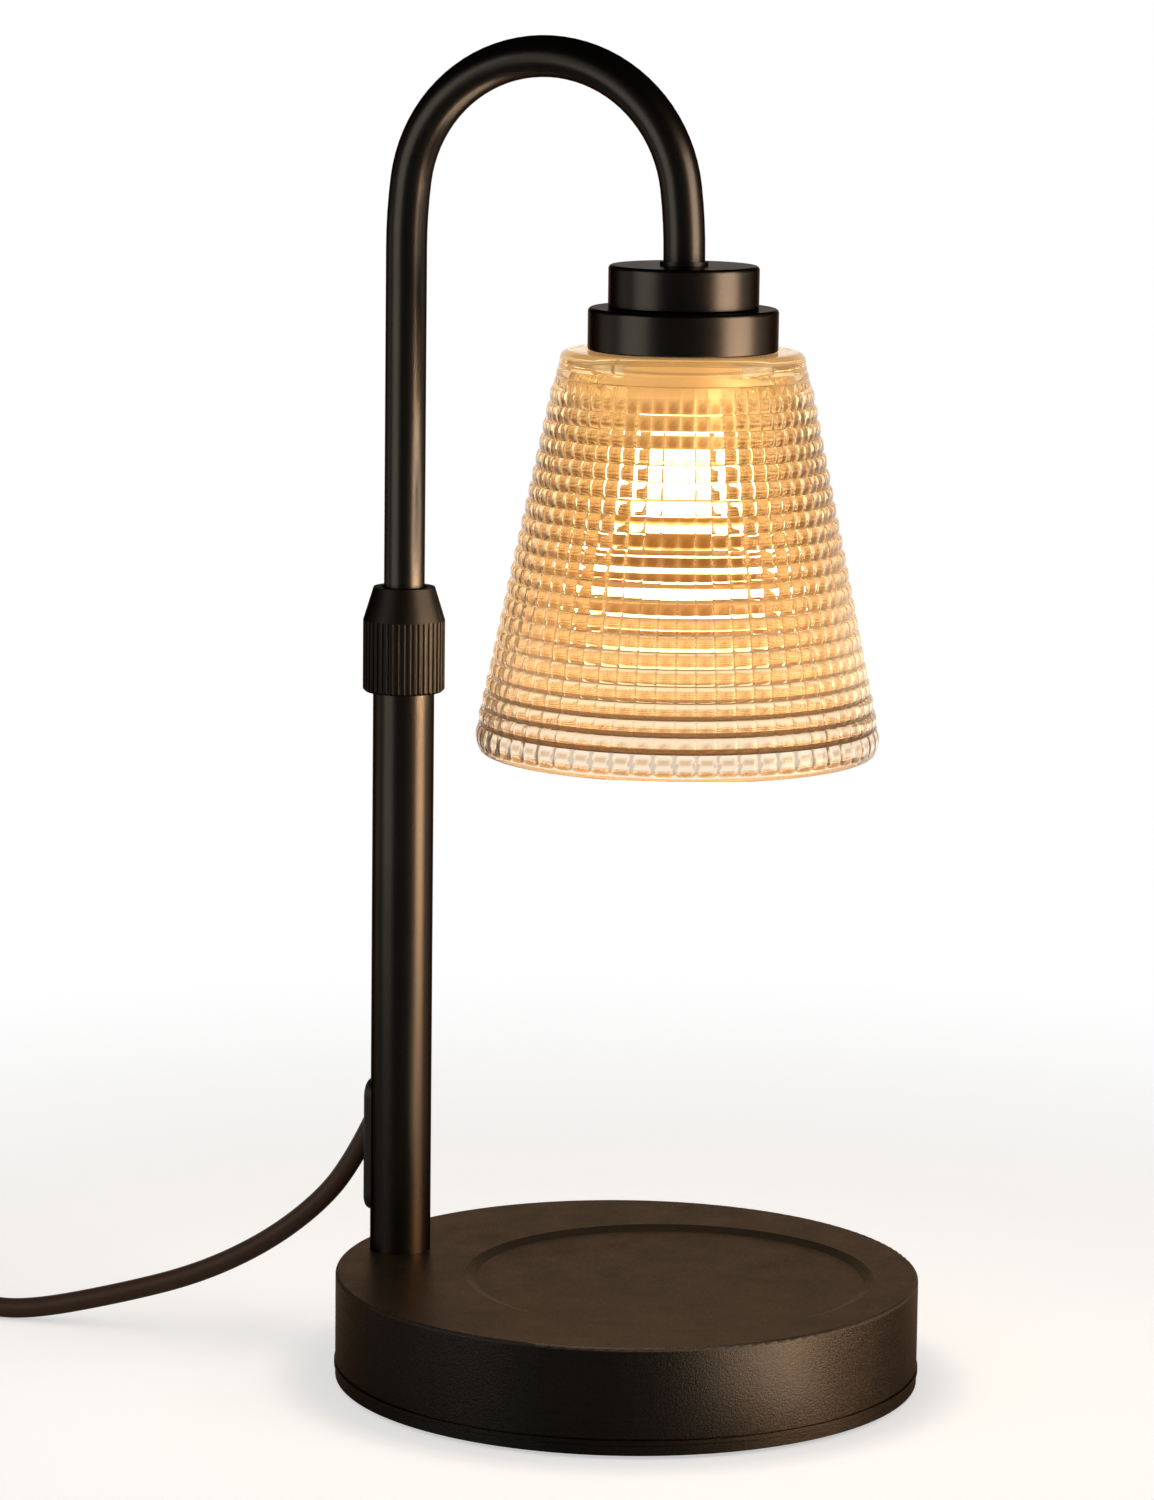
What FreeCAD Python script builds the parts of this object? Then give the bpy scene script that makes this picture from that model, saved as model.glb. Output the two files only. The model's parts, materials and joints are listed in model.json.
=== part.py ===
"""Candle warmer lamp: a telescoping gooseneck lamp that warms a candle from above.

Frame: origin at the centre of the base's underside, +Z up, +X from the pole to the
head, millimetres. Every driving size is a cell of the sheet, and every sub-part is
an object of the document that takes its sizes from those cells.
"""

import FreeCAD, Part
import math
import os
import re

import Sketcher

SIZES = {
    # base
    "base_radius": 76.0,
    "base_top": 28.2,
    "base_wall": 2.5,
    "base_roof": 3.2,
    "base_rounding": 0.8,
    "recess_radius": 53.1,
    "recess_depth": 1.0,
    "recess_slope": 2.8,
    "cover_lift": 0.8,
    "cover_floor": 2.0,
    "cover_thickness": 2.2,
    "cover_ring_top": 3.3,
    "cover_line_depth": 0.25,
    "cover_line_height": 0.2,
    "bead_height": 1.1,
    "bead_stand": 0.3,
    "groove_height": 0.5,
    "groove_depth": 0.7,
    "spigot_height": 4.0,
    "spigot_wall": 2.0,
    "fit_gap": 0.15,
    "pad_inset": 2.6,
    "boss_radius": 4.0,
    "boss_inset": 2.0,
    "boss_count": 4,
    "screw_radius": 1.5,
    "screw_head_radius": 2.8,
    "screw_head_height": 1.2,
    "screw_length": 9.0,
    "screw_gap": 0.05,
    "weight_gap": 1.7,
    "weight_thickness": 8.0,
    "weight_circle": 40.0,
    "weight_count": 3,
    "weight_screw_radius": 2.0,
    "weight_screw_head": 3.6,
    # pole
    "pole_inset": 12.3,
    "pole_radius": 8.0,
    "pole_wall": 1.2,
    "pole_length": 155.8,
    "pole_plug_length": 14.0,
    "bolt_radius": 4.0,
    "bolt_head_across": 13.0,
    "bolt_head_height": 5.3,
    "bolt_reach": 9.0,
    "bolt_hole_gap": 0.25,
    "washer_radius": 8.0,
    "washer_thickness": 1.6,
    # cord outlet, heights above the base's top
    "outlet_height": 27.5,
    "outlet_half_height": 17.7,
    "outlet_half_width": 4.4,
    "outlet_stand": 1.1,
    "outlet_rounding": 1.0,
    "slot_margin": 2.5,
    "slot_half_width": 3.2,
    "slot_gap": 0.1,
    "exit_rise": 3.7,
    "exit_fall": 63.0,
    "cord_radius": 2.7,
    "cord_bore_gap": 0.08,
    "cord_inner_shift": 2.7,
    "relief_foot": 48.8,
    "relief_length": 19.0,
    "relief_hold": 7.0,
    "relief_thin": 3.3,
    "relief_thick": 3.9,
    # twist lock, heights from the pole's upper end
    "collar_overlap": 6.7,
    "collar_radius": 10.67,
    "collar_chamfer": 0.7,
    "knurl_length": 18.8,
    "cone_length": 8.6,
    "cone_top_radius": 8.0,
    "collar_lip": 1.4,
    "collar_hole_gap": 0.6,
    "collar_skirt_gap": 0.3,
    "knurl_count": 44,
    "knurl_radius": 0.55,
    "knurl_depth": 0.42,
    "thread_radius": 7.5,
    "thread_gap": 0.1,
    "sleeve_spigot": 10.0,
    "sleeve_shoulder": 1.5,
    "sleeve_rise": 12.0,
    "slide_gap": 0.08,
    "collet_length": 6.4,
    "collet_radius": 7.2,
    "collet_tip_radius": 6.3,
    "collet_slit": 1.2,
    "collet_gap": 0.3,
    # arm
    "tube_radius": 5.31,
    "tube_wall": 0.9,
    "tube_insertion": 40.5,
    "leg_length": 149.3,
    "lead_in_radius": 135.0,
    "lead_in_angle": 7.35,
    "head_offset": 11.7,
    "head_drop": 2.1,
    "bush_rise": 2.7,
    "bush_length": 8.0,
    "run_gap": 0.05,
    "clip_thickness": 1.0,
    "clip_depth": 0.3,
    "clip_stand": 0.9,
    "clip_gap": 0.2,
    "lead_radius": 1.6,
    "lead_gap": 0.1,
    "lead_hole_depth": 4.0,
    "lead_straight": 6.5,
    # head, heights from the lower cap's rim
    "cap_upper_radius": 19.15,
    "cap_upper_height": 10.8,
    "cap_lower_radius": 24.2,
    "cap_lower_height": 10.7,
    "cap_wall": 1.5,
    "cap_roof": 1.6,
    "cap_rounding": 1.0,
    "cap_foot_rounding": 0.5,
    "tube_ring_stand": 0.84,
    "tube_ring_height": 1.0,
    "tube_ring_gap": 0.02,
    "stud_radius": 4.0,
    "stud_bore": 2.2,
    "stud_insert": 4.2,
    "stud_gap": 0.1,
    "stud_hole_gap": 0.15,
    "stud_excess": 0.6,
    "head_washer_radius": 6.9,
    "head_washer_thickness": 1.7,
    "head_nut_across": 13.0,
    "head_nut_height": 4.6,
    # shade and its fixing
    "carrier_radius": 15.2,
    "carrier_wall": 1.0,
    "carrier_roof": 1.6,
    "carrier_drop": 22.2,
    "shade_gap": 0.05,
    "shade_height": 102.75,
    "shade_roof": 4.8,
    "shade_hole_gap": 0.4,
    "shade_top_radius": 31.3,
    "shade_shoulder": 2.6,
    "shade_plain_top": 9.25,
    "shade_plain_foot": 7.0,
    "shade_row_count": 21,
    "shade_row_bevel": 0.4,
    "shade_row_fall": 0.6,
    "shade_rows_radius": 50.9,
    "shade_lip_radius": 51.7,
    "shade_lip_rounding": 1.2,
    "shade_wall": 3.2,
    "gasket_thickness": 0.8,
    "shade_ring_radius": 21.5,
    "shade_ring_height": 3.0,
    "ring_gap": 0.1,
    # lamp holder and bulb
    "holder_gap": 0.8,
    "holder_height": 18.2,
    "holder_post_radius": 2.9,
    "holder_post_gap": 0.5,
    "holder_screw_reach": 11.0,
    "holder_screw_head": 2.6,
    "holder_screw_head_height": 1.5,
    "keyhole_face": 1.6,
    "keyhole_depth": 7.6,
    "keyhole_gap": 0.25,
    "pin_offset": 5.0,
    "pin_head_radius": 2.5,
    "pin_neck_radius": 1.5,
    "pin_length": 7.0,
    "pin_head_height": 4.6,
    "bulb_turn": 22.0,
    "contact_thickness": 1.1,
    "contact_half_length": 2.2,
    "contact_half_width": 1.6,
    "bulb_gap": 0.6,
    "bulb_base_length": 13.9,
    "bulb_base_radius": 9.4,
    "bulb_radius": 25.0,
    "bulb_bowl_length": 28.3,
    "bulb_rim_height": 3.2,
    "bulb_glass": 1.2,
    "lens_thickness": 1.6,
    "lens_inset": 0.8,
    "capsule_radius": 4.6,
    "capsule_length": 20.0,
    # in-line dimmer
    "dimmer_from_pole": 186.8,
    "dimmer_side": 11.0,
    "dimmer_half_length": 30.0,
    "dimmer_half_width": 14.5,
    "dimmer_split": 9.2,
    "dimmer_height": 16.5,
    "dimmer_corner": 6.0,
    "dimmer_wall": 1.6,
    "dimmer_rounding": 1.2,
    "dial_offset": 10.0,
    "dial_radius": 8.5,
    "dial_height": 4.0,
    "dial_gap": 0.3,
    "dial_shaft_radius": 3.0,
    "dial_shaft_sink": 2.5,
    "dial_groove_count": 24,
    "dial_groove_radius": 0.6,
    "dial_groove_depth": 0.4,
    "control_half_size": 5.5,
    "control_height": 6.3,
    "button_offset": 14.0,
    "button_radius": 4.0,
    "button_stand": 1.6,
    "button_flange": 0.8,
    "button_travel": 1.0,
    "button_stem": 1.5,
    "switch_half_size": 3.0,
    "switch_height": 1.6,
    "board_foot": 4.2,
    "board_thickness": 1.6,
    "board_half_length": 25.0,
    "board_half_width": 11.0,
    "post_radius": 2.4,
    "post_offset": 21.8,
    "dimmer_screw_radius": 1.1,
    "dimmer_screw_head": 2.0,
    "dimmer_screw_length": 11.0,
    "cord_axis_height": 6.2,
    "boot_length": 20.0,
    "boot_thick": 4.4,
    "boot_thin": 3.1,
    "boot_hold": 8.0,
    "boot_neck": 2.0,
    # coil and plug
    "coil_from_pole": 288.3,
    "coil_outer": 39.0,
    "coil_inner": 24.9,
    "coil_layers": 2,
    "coil_skin": 0.05,
    "coil_rounding": 2.0,
    "coil_stub": 21.0,
    "plug_reach": 14.0,
    "plug_half_width": 9.5,
    "plug_half_thickness": 8.0,
    "plug_length": 25.0,
    "plug_corner": 3.0,
    "plug_rounding": 1.5,
    "blade_half_spacing": 6.35,
    "blade_half_height": 3.15,
    "blade_thickness": 1.5,
    "blade_length": 16.0,
    "blade_root": 4.0,
}

doc = FreeCAD.newDocument("candle_warmer_lamp")
sheet = doc.addObject("Spreadsheet::Sheet", "Sizes")
for line, (alias, number) in enumerate(SIZES.items(), start=1):
    sheet.set(f"A{line}", alias)
    sheet.set(f"B{line}", str(number))
    sheet.setAlias(f"B{line}", alias)
doc.recompute()

NODES = []

# Heights that the sub-parts share, as formulas of the sheet's cells.
COVER_TOP = "(cover_floor + cover_thickness)"
BEAD_FOOT = "(cover_ring_top + cover_line_height)"
HOUSING_FOOT = "(cover_ring_top + cover_line_height + bead_height + groove_height)"
BORE = "(pole_radius - pole_wall)"
POLE_TOP = "(base_top + pole_length)"
TUBE_FOOT = "(base_top + pole_length - tube_insertion)"
CAP_TOP = f"({TUBE_FOOT} + leg_length - head_drop)"
CAP_STEP = f"({CAP_TOP} - cap_upper_height)"
CAP_FOOT = f"({CAP_STEP} - cap_lower_height)"
POLE_X = "(pole_inset - base_radius)"
SPAN = f"(head_offset - {POLE_X})"
BOSS_CIRCLE = "(base_radius - base_wall - boss_radius - boss_inset)"
CARRIER_TOP = f"({CAP_STEP} - cap_roof - head_washer_thickness)"
NUT_FOOT = f"({CARRIER_TOP} - carrier_roof - head_nut_height)"
STUD_FOOT = f"({NUT_FOOT} - stud_excess)"
HOLDER_TOP = f"({STUD_FOOT} - holder_gap)"
SHADE_TOP = f"({CAP_FOOT} - shade_gap)"
POST_OFFSET = "(head_nut_across / 2 + holder_post_gap + holder_post_radius)"
BOARD_TOP = "(board_foot + board_thickness)"
DIMMER_X = f"({POLE_X} - dimmer_from_pole)"
DIMMER_Y = "(-dimmer_side)"
COIL_X = f"({POLE_X} - coil_from_pole)"
COIL_Y = "(coil_outer - dimmer_side)"


def bound(formula):
    """The formula with the sheet's name before each of its aliases."""
    def with_sheet(word):
        return "Sizes." + word.group() if word.group() in SIZES else word.group()

    return re.sub(r"[a-z][a-z0-9_]*", with_sheet, formula)


def worth(formula):
    """The number that a formula of aliases comes to."""
    return float(sheet.evalExpression(bound(formula)))


def place(item, x="0", y="0", z="0"):
    """Bind an object's own place to the sheet."""
    for axis, formula in zip("xyz", (x, y, z)):
        if formula != "0":
            item.setExpression(f"Placement.Base.{axis}", bound(formula))


def new_body(name, x="0", y="0", z="0"):
    """An empty body that becomes the node of that name."""
    body = doc.addObject("PartDesign::Body", name)
    body.Label = name
    place(body, x, y, z)
    NODES.append(body)
    return body


def new_sketch(body, name, role="XY_Plane", lift="0", rise="0"):
    """A sketch on one of the body's own origin planes, moved along its normal by lift and up by rise."""
    sketch = body.newObject("Sketcher::SketchObject", name)
    planes = {feature.Role: feature for feature in body.Origin.OriginFeatures}
    sketch.AttachmentSupport = [(planes[role], "")]
    sketch.MapMode = "FlatFace"
    if lift != "0":
        sketch.setExpression("AttachmentOffset.Base.z", bound(lift))
    if rise != "0":
        sketch.setExpression("AttachmentOffset.Base.y", bound(rise))
    return sketch


def pin(sketch, shape, point, x, y):
    """Hold one point of a sketch's shape at a place given by two formulas."""
    for kind, formula in (("DistanceX", x), ("DistanceY", y)):
        rule = Sketcher.Constraint(kind, -1, 1, shape, point, worth(formula))
        index = sketch.addConstraint(rule)
        sketch.setExpression(f"Constraints[{index}]", bound(formula))


def add_outline(sketch, corners):
    """A closed run of straight lines through corners, each a pair of formulas."""
    spots = [FreeCAD.Vector(worth(x), worth(y), 0) for x, y in corners]
    count = len(spots)
    first = sketch.GeometryCount
    for i in range(count):
        sketch.addGeometry(Part.LineSegment(spots[i], spots[(i + 1) % count]))
    for i, (x, y) in enumerate(corners):
        following = first + (i + 1) % count
        sketch.addConstraint(Sketcher.Constraint("Coincident", first + i, 2, following, 1))
        pin(sketch, first + i, 1, x, y)


def add_circle(sketch, radius, x="0", y="0"):
    """A circle with its radius and centre given by formulas."""
    centre = FreeCAD.Vector(worth(x), worth(y), 0)
    normal = FreeCAD.Vector(0, 0, 1)
    index = sketch.addGeometry(Part.Circle(centre, normal, worth(radius)))
    rule = sketch.addConstraint(Sketcher.Constraint("Radius", index, worth(radius)))
    sketch.setExpression(f"Constraints[{rule}]", bound(radius))
    pin(sketch, index, 3, x, y)


def add_stadium(sketch, half_width, half_height):
    """An upright slot: two straight sides and two round ends, centred on the sketch's origin."""
    wide = worth(half_width)
    tall = worth(half_height) - wide
    up = FreeCAD.Vector(0, 0, 1)
    upper = Part.Circle(FreeCAD.Vector(0, tall, 0), up, wide)
    lower = Part.Circle(FreeCAD.Vector(0, -tall, 0), up, wide)
    sketch.addGeometry(Part.LineSegment(FreeCAD.Vector(wide, -tall, 0), FreeCAD.Vector(wide, tall, 0)))
    sketch.addGeometry(Part.ArcOfCircle(upper, 0, math.pi))
    sketch.addGeometry(Part.LineSegment(FreeCAD.Vector(-wide, tall, 0), FreeCAD.Vector(-wide, -tall, 0)))
    sketch.addGeometry(Part.ArcOfCircle(lower, math.pi, 2 * math.pi))
    for shape, following, point in ((0, 1, 1), (1, 2, 1), (2, 3, 1), (3, 0, 1)):
        sketch.addConstraint(Sketcher.Constraint("Coincident", shape, 2, following, point))
    level = f"{half_height} - ({half_width})"
    ends = ((0, 1, half_width, f"-({level})"),
            (0, 2, half_width, level),
            (2, 1, f"-({half_width})", level),
            (2, 2, f"-({half_width})", f"-({level})"))
    for shape, point, x, y in ends:
        pin(sketch, shape, point, x, y)
    for shape, middle, formula in ((1, tall, level), (3, -tall, f"-({level})")):
        rule = sketch.addConstraint(Sketcher.Constraint("DistanceY", -1, 1, shape, 3, middle))
        sketch.setExpression(f"Constraints[{rule}]", bound(formula))


def add_hexagon(sketch, across):
    """A hexagon about the sketch's origin, given its width across flats."""
    corners = []
    for turn in range(0, 360, 60):
        corners.append((f"{across} / sqrt(3) * cos({turn})", f"{across} / sqrt(3) * sin({turn})"))
    add_outline(sketch, corners)


def add_rounded_box(sketch, half_x, half_y, corner):
    """A rectangle about the sketch's origin, each corner rounded by two short straights."""
    corner = f"({corner})"
    cut = f"{corner} * (1 - 1 / sqrt(2))"
    quarter = [(half_x, f"{half_y} - {corner}"), (f"{half_x} - {cut}", f"{half_y} - {cut}"),
               (f"{half_x} - {corner}", half_y)]
    corners = list(quarter)
    corners += [(f"-({x})", y) for x, y in reversed(quarter)]
    corners += [(f"-({x})", f"-({y})") for x, y in quarter]
    corners += [(x, f"-({y})") for x, y in reversed(quarter)]
    add_outline(sketch, corners)


def pad(body, sketch, length, backwards=False, both_ways=False):
    """Give a sketch a thickness in solid material."""
    feature = body.newObject("PartDesign::Pad", sketch.Name + "_pad")
    feature.Profile = sketch
    feature.setExpression("Length", bound(length))
    feature.Reversed = backwards
    feature.Midplane = both_ways
    doc.recompute()
    return feature


def cut(body, sketch, length, backwards=False, both_ways=False):
    """Cut a sketch into the body, and make sure that it did remove material."""
    before = body.Shape.Volume
    feature = body.newObject("PartDesign::Pocket", sketch.Name + "_cut")
    feature.Profile = sketch
    feature.setExpression("Length", bound(length))
    feature.Reversed = backwards
    feature.Midplane = both_ways
    doc.recompute()
    if not body.Shape.Volume < before:
        raise ValueError(f"{feature.Name} removes nothing")
    return feature


def turned(name, outline, x="0", y="0", z="0"):
    """A body turned about its own upright axis from corners of radius and height."""
    body = new_body(name, x, y, z)
    sketch = new_sketch(body, name + "_section", "XZ_Plane")
    add_outline(sketch, outline)
    feature = body.newObject("PartDesign::Revolution", name + "_turned")
    feature.Profile = sketch
    feature.ReferenceAxis = (sketch, ["V_Axis"])
    feature.Angle = 360
    doc.recompute()
    return body


def turned_level(name, outline, x, y, z):
    """A body turned about a level axis along X from corners of length and radius."""
    body = new_body(name, x, y, z)
    sketch = new_sketch(body, name + "_section", "XZ_Plane")
    add_outline(sketch, outline)
    feature = body.newObject("PartDesign::Revolution", name + "_turned")
    feature.Profile = sketch
    feature.ReferenceAxis = (sketch, ["H_Axis"])
    feature.Angle = 360
    doc.recompute()
    return body


def turned_ring(name, inner, outer, foot, top, x="0", y="0", z="0"):
    """A plain turned ring, tube or disc."""
    return turned(name, [(inner, foot), (outer, foot), (outer, top), (inner, top)], x, y, z)


def edges_where(body, wanted):
    """Names of the body's edges for which wanted(edge) is true."""
    return [f"Edge{i}" for i, edge in enumerate(body.Shape.Edges, start=1) if wanted(edge)]


def rims(body, radius, height):
    """Names of the round edges of that radius at that height in the body's own frame."""
    size = worth(radius)
    level = worth(height)

    def wanted(edge):
        if not isinstance(edge.Curve, Part.Circle):
            return False
        centre = body.Placement.inverse().multVec(edge.Curve.Center)
        return abs(edge.Curve.Radius - size) < 0.01 and abs(centre.z - level) < 0.01

    return edges_where(body, wanted)


def round_off(body, edges, radius):
    """Fillet the named edges."""
    if not edges:
        raise ValueError(f"no edge of {body.Name} to round")
    base = body.Tip
    feature = body.newObject("PartDesign::Fillet", body.Name + "_rounding")
    feature.Base = (base, edges)
    feature.setExpression("Radius", bound(radius))
    doc.recompute()
    return feature


def repeat_round(body, features, count):
    """Repeat features evenly round the body's own upright axis."""
    axes = {feature.Role: feature for feature in body.Origin.OriginFeatures}
    pattern = body.newObject("PartDesign::PolarPattern", body.Name + "_ring")
    pattern.Originals = features
    pattern.Axis = (axes["Z_Axis"], [""])
    pattern.Angle = 360
    pattern.setExpression("Occurrences", bound(count))
    body.Tip = pattern
    doc.recompute()
    return pattern


def group_round(name, make_one, count, x="0", y="0"):
    """Several equal solids round an upright axis, kept as one node of separate solids."""
    one = make_one()
    NODES.remove(one)
    solids = []
    centre = FreeCAD.Vector(worth(x), worth(y), 0)
    copies = int(worth(count))
    for i in range(copies):
        solid = one.Shape.copy()
        solid.rotate(FreeCAD.Vector(0, 0, 0), FreeCAD.Vector(0, 0, 1), 360 * i / copies)
        solid.translate(centre)
        solids.append(solid)
    return feature_node(name, Part.makeCompound(solids))


def feature_node(name, shape):
    """A node whose shape is worked out with Part's own functions."""
    feature = doc.addObject("Part::Feature", name)
    feature.Label = name
    feature.Shape = shape
    NODES.append(feature)
    return feature


def route_pipe(name, points, radius):
    """A round rod along straight runs joined by tangent arcs, each as large as its runs allow."""
    share = 0.45
    axis = worth(POLE_X)
    spots = [FreeCAD.Vector(x + axis, y, z) for x, y, z in points]
    edges = []
    radii = []
    last = spots[0]
    for before, corner, after in zip(spots, spots[1:], spots[2:]):
        back = before - corner
        ahead = after - corner
        reach = share * min(back.Length, ahead.Length)
        back.normalize()
        ahead.normalize()
        half_turn = (math.pi - back.getAngle(ahead)) / 2
        arc_radius = reach / math.tan(half_turn)
        start = corner + back * reach
        end = corner + ahead * reach
        inward = back + ahead
        inward.normalize()
        middle = corner + inward * (arc_radius / math.cos(half_turn) - arc_radius)
        edges.append(Part.LineSegment(last, start).toShape())
        edges.append(Part.Arc(start, middle, end).toShape())
        radii.append(round(arc_radius, 1))
        last = end
    edges.append(Part.LineSegment(last, spots[-1]).toShape())
    spine = Part.Wire(edges)
    heading = spots[1] - spots[0]
    section = Part.Wire(Part.makeCircle(radius, spots[0], heading))
    solid = spine.makePipeShell([section], True, True)
    expected = math.pi * radius ** 2 * spine.Length
    print(f"{name}: length {spine.Length:.1f}, bend radii {radii}, volume {solid.Volume / expected:.4f}")
    return feature_node(name, solid)


# ---------------------------------------------------------------- base

def make_housing():
    """Drum with the candle's recess, the screw bosses and the pole's bolt hole."""
    wall = "base_radius - base_wall"
    roof = "base_top - base_roof"
    housing = turned("base_housing", [
        ("0", roof),
        (wall, roof),
        (wall, HOUSING_FOOT),
        ("base_radius", HOUSING_FOOT),
        ("base_radius", "base_top"),
        ("0", "base_top"),
    ])
    round_off(housing, rims(housing, "base_radius", "base_top"), "base_rounding")

    recess = housing.newObject("PartDesign::SubtractiveCone", "candle_recess")
    recess.setExpression("Radius1", bound("recess_radius - recess_slope"))
    recess.setExpression("Radius2", bound("recess_radius"))
    recess.setExpression("Height", bound("recess_depth"))
    recess.setExpression("Placement.Base.x", bound("head_offset"))
    recess.setExpression("Placement.Base.z", bound("base_top - recess_depth"))
    doc.recompute()

    boss = new_sketch(housing, "boss_mark", "XY_Plane", COVER_TOP)
    add_circle(boss, "boss_radius", f"{BOSS_CIRCLE} * cos(45)", f"{BOSS_CIRCLE} * sin(45)")
    boss_pad = pad(housing, boss, f"{roof} - {COVER_TOP}")
    repeat_round(housing, [boss_pad], "boss_count")
    bore = new_sketch(housing, "boss_bore_mark", "XY_Plane", COVER_TOP)
    add_circle(bore, "screw_radius + screw_gap", f"{BOSS_CIRCLE} * cos(45)", f"{BOSS_CIRCLE} * sin(45)")
    bore_cut = cut(housing, bore, "screw_length + screw_gap", backwards=True)
    repeat_round(housing, [bore_cut], "boss_count")

    hole = new_sketch(housing, "pole_bolt_hole", "XY_Plane", "base_top")
    add_circle(hole, "bolt_radius + bolt_hole_gap", POLE_X)
    cut(housing, hole, "base_roof")


def make_cover():
    """Floor of the base with its lower ring, fine line, bead and shadow groove."""
    ring = "base_radius - pad_inset"
    line = "base_radius - cover_line_depth"
    bead = "base_radius + bead_stand"
    groove = "base_radius - groove_depth"
    spigot = "base_radius - base_wall - fit_gap"
    cover = turned("bottom_cover", [
        ("0", "cover_floor"),
        (ring, "cover_floor"),
        (ring, "cover_lift"),
        ("base_radius", "cover_lift"),
        ("base_radius", "cover_ring_top"),
        (line, "cover_ring_top"),
        (line, BEAD_FOOT),
        (bead, BEAD_FOOT),
        (bead, f"{BEAD_FOOT} + bead_height"),
        (groove, f"{BEAD_FOOT} + bead_height"),
        (groove, HOUSING_FOOT),
        (spigot, HOUSING_FOOT),
        (spigot, f"{HOUSING_FOOT} + spigot_height"),
        (f"{spigot} - spigot_wall", f"{HOUSING_FOOT} + spigot_height"),
        (f"{spigot} - spigot_wall", COVER_TOP),
        ("0", COVER_TOP),
    ])
    notch = new_sketch(cover, "boss_notch_mark", "XY_Plane", COVER_TOP)
    add_circle(notch, "boss_radius + fit_gap", f"{BOSS_CIRCLE} * cos(45)", f"{BOSS_CIRCLE} * sin(45)")
    notch_cut = cut(cover, notch, f"{HOUSING_FOOT} + spigot_height", backwards=True)
    repeat_round(cover, [notch_cut], "boss_count")
    screw_seat(cover, "cover_screw", "screw_radius", "screw_head_radius",
               f"{BOSS_CIRCLE} * cos(45)", f"{BOSS_CIRCLE} * sin(45)", "boss_count")
    screw_seat(cover, "weight_screw", "weight_screw_radius", "weight_screw_head",
               "weight_circle", "0", "weight_count")


def screw_seat(cover, name, shank, head, x, y, count):
    """A ring of screw holes in the cover, each with a sunk seat for the head."""
    hole = new_sketch(cover, name + "_hole", "XY_Plane", "cover_floor")
    add_circle(hole, f"{shank} + screw_gap", x, y)
    hole_cut = cut(cover, hole, "cover_thickness", backwards=True)
    repeat_round(cover, [hole_cut], count)
    seat = new_sketch(cover, name + "_seat", "XY_Plane", "cover_floor")
    add_circle(seat, f"{head} + fit_gap", x, y)
    seat_cut = cut(cover, seat, "screw_head_height", backwards=True)
    repeat_round(cover, [seat_cut], count)


def make_cover_screw(name, shank, head, x, y):
    """One screw of the base, its head flush with the cover's underside."""
    return turned(name, [
        ("0", "cover_floor"),
        (head, "cover_floor"),
        (head, "cover_floor + screw_head_height"),
        (shank, "cover_floor + screw_head_height"),
        (shank, "cover_floor + screw_length"),
        ("0", "cover_floor + screw_length"),
    ], x, y)


def make_base_fittings():
    """Pad, counterweight and the screws of the base."""
    turned_ring("foot_pad", "0", "base_radius - pad_inset - fit_gap", "0", "cover_floor")

    weight_top = f"{COVER_TOP} + weight_thickness"
    weight = turned_ring("counterweight", "0", f"-{POLE_X} - washer_radius - weight_gap",
                         COVER_TOP, weight_top)
    hole = new_sketch(weight, "weight_bore", "XY_Plane", COVER_TOP)
    add_circle(hole, "weight_screw_radius + screw_gap", "weight_circle")
    hole_cut = cut(weight, hole, "screw_length", backwards=True)
    repeat_round(weight, [hole_cut], "weight_count")

    group_round("bottom_screws", lambda: make_cover_screw(
        "bottom_screw", "screw_radius", "screw_head_radius",
        f"{BOSS_CIRCLE} * cos(45)", f"{BOSS_CIRCLE} * sin(45)"), "boss_count")
    group_round("weight_screws", lambda: make_cover_screw(
        "weight_screw", "weight_screw_radius", "weight_screw_head",
        "weight_circle", "0"), "weight_count")


# ---------------------------------------------------------------- pole

def make_pole():
    """Lower tube with its cord slot, and the bolt that holds it to the base."""
    pole = turned_ring("lower_pole", BORE, "pole_radius", "base_top", POLE_TOP, POLE_X)
    slot = new_sketch(pole, "cord_slot", "YZ_Plane", "0", "base_top + outlet_height")
    add_stadium(slot, "slot_half_width", "outlet_half_height - slot_margin")
    cut(pole, slot, "pole_radius")

    turned_ring("pole_plug", "bolt_radius + screw_gap", f"{BORE} - run_gap",
                "base_top", "base_top + pole_plug_length", POLE_X)

    roof = "(base_top - base_roof)"
    turned_ring("pole_washer", "bolt_radius + bolt_hole_gap", "washer_radius",
                f"{roof} - washer_thickness", roof, POLE_X)

    bolt = new_body("pole_bolt", POLE_X)
    head = new_sketch(bolt, "bolt_head", "XY_Plane", f"{roof} - washer_thickness - bolt_head_height")
    add_hexagon(head, "bolt_head_across")
    pad(bolt, head, "bolt_head_height")
    shank = new_sketch(bolt, "bolt_shank", "XY_Plane", f"{roof} - washer_thickness")
    add_circle(shank, "bolt_radius")
    pad(bolt, shank, "washer_thickness + base_roof + bolt_reach")


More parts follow.
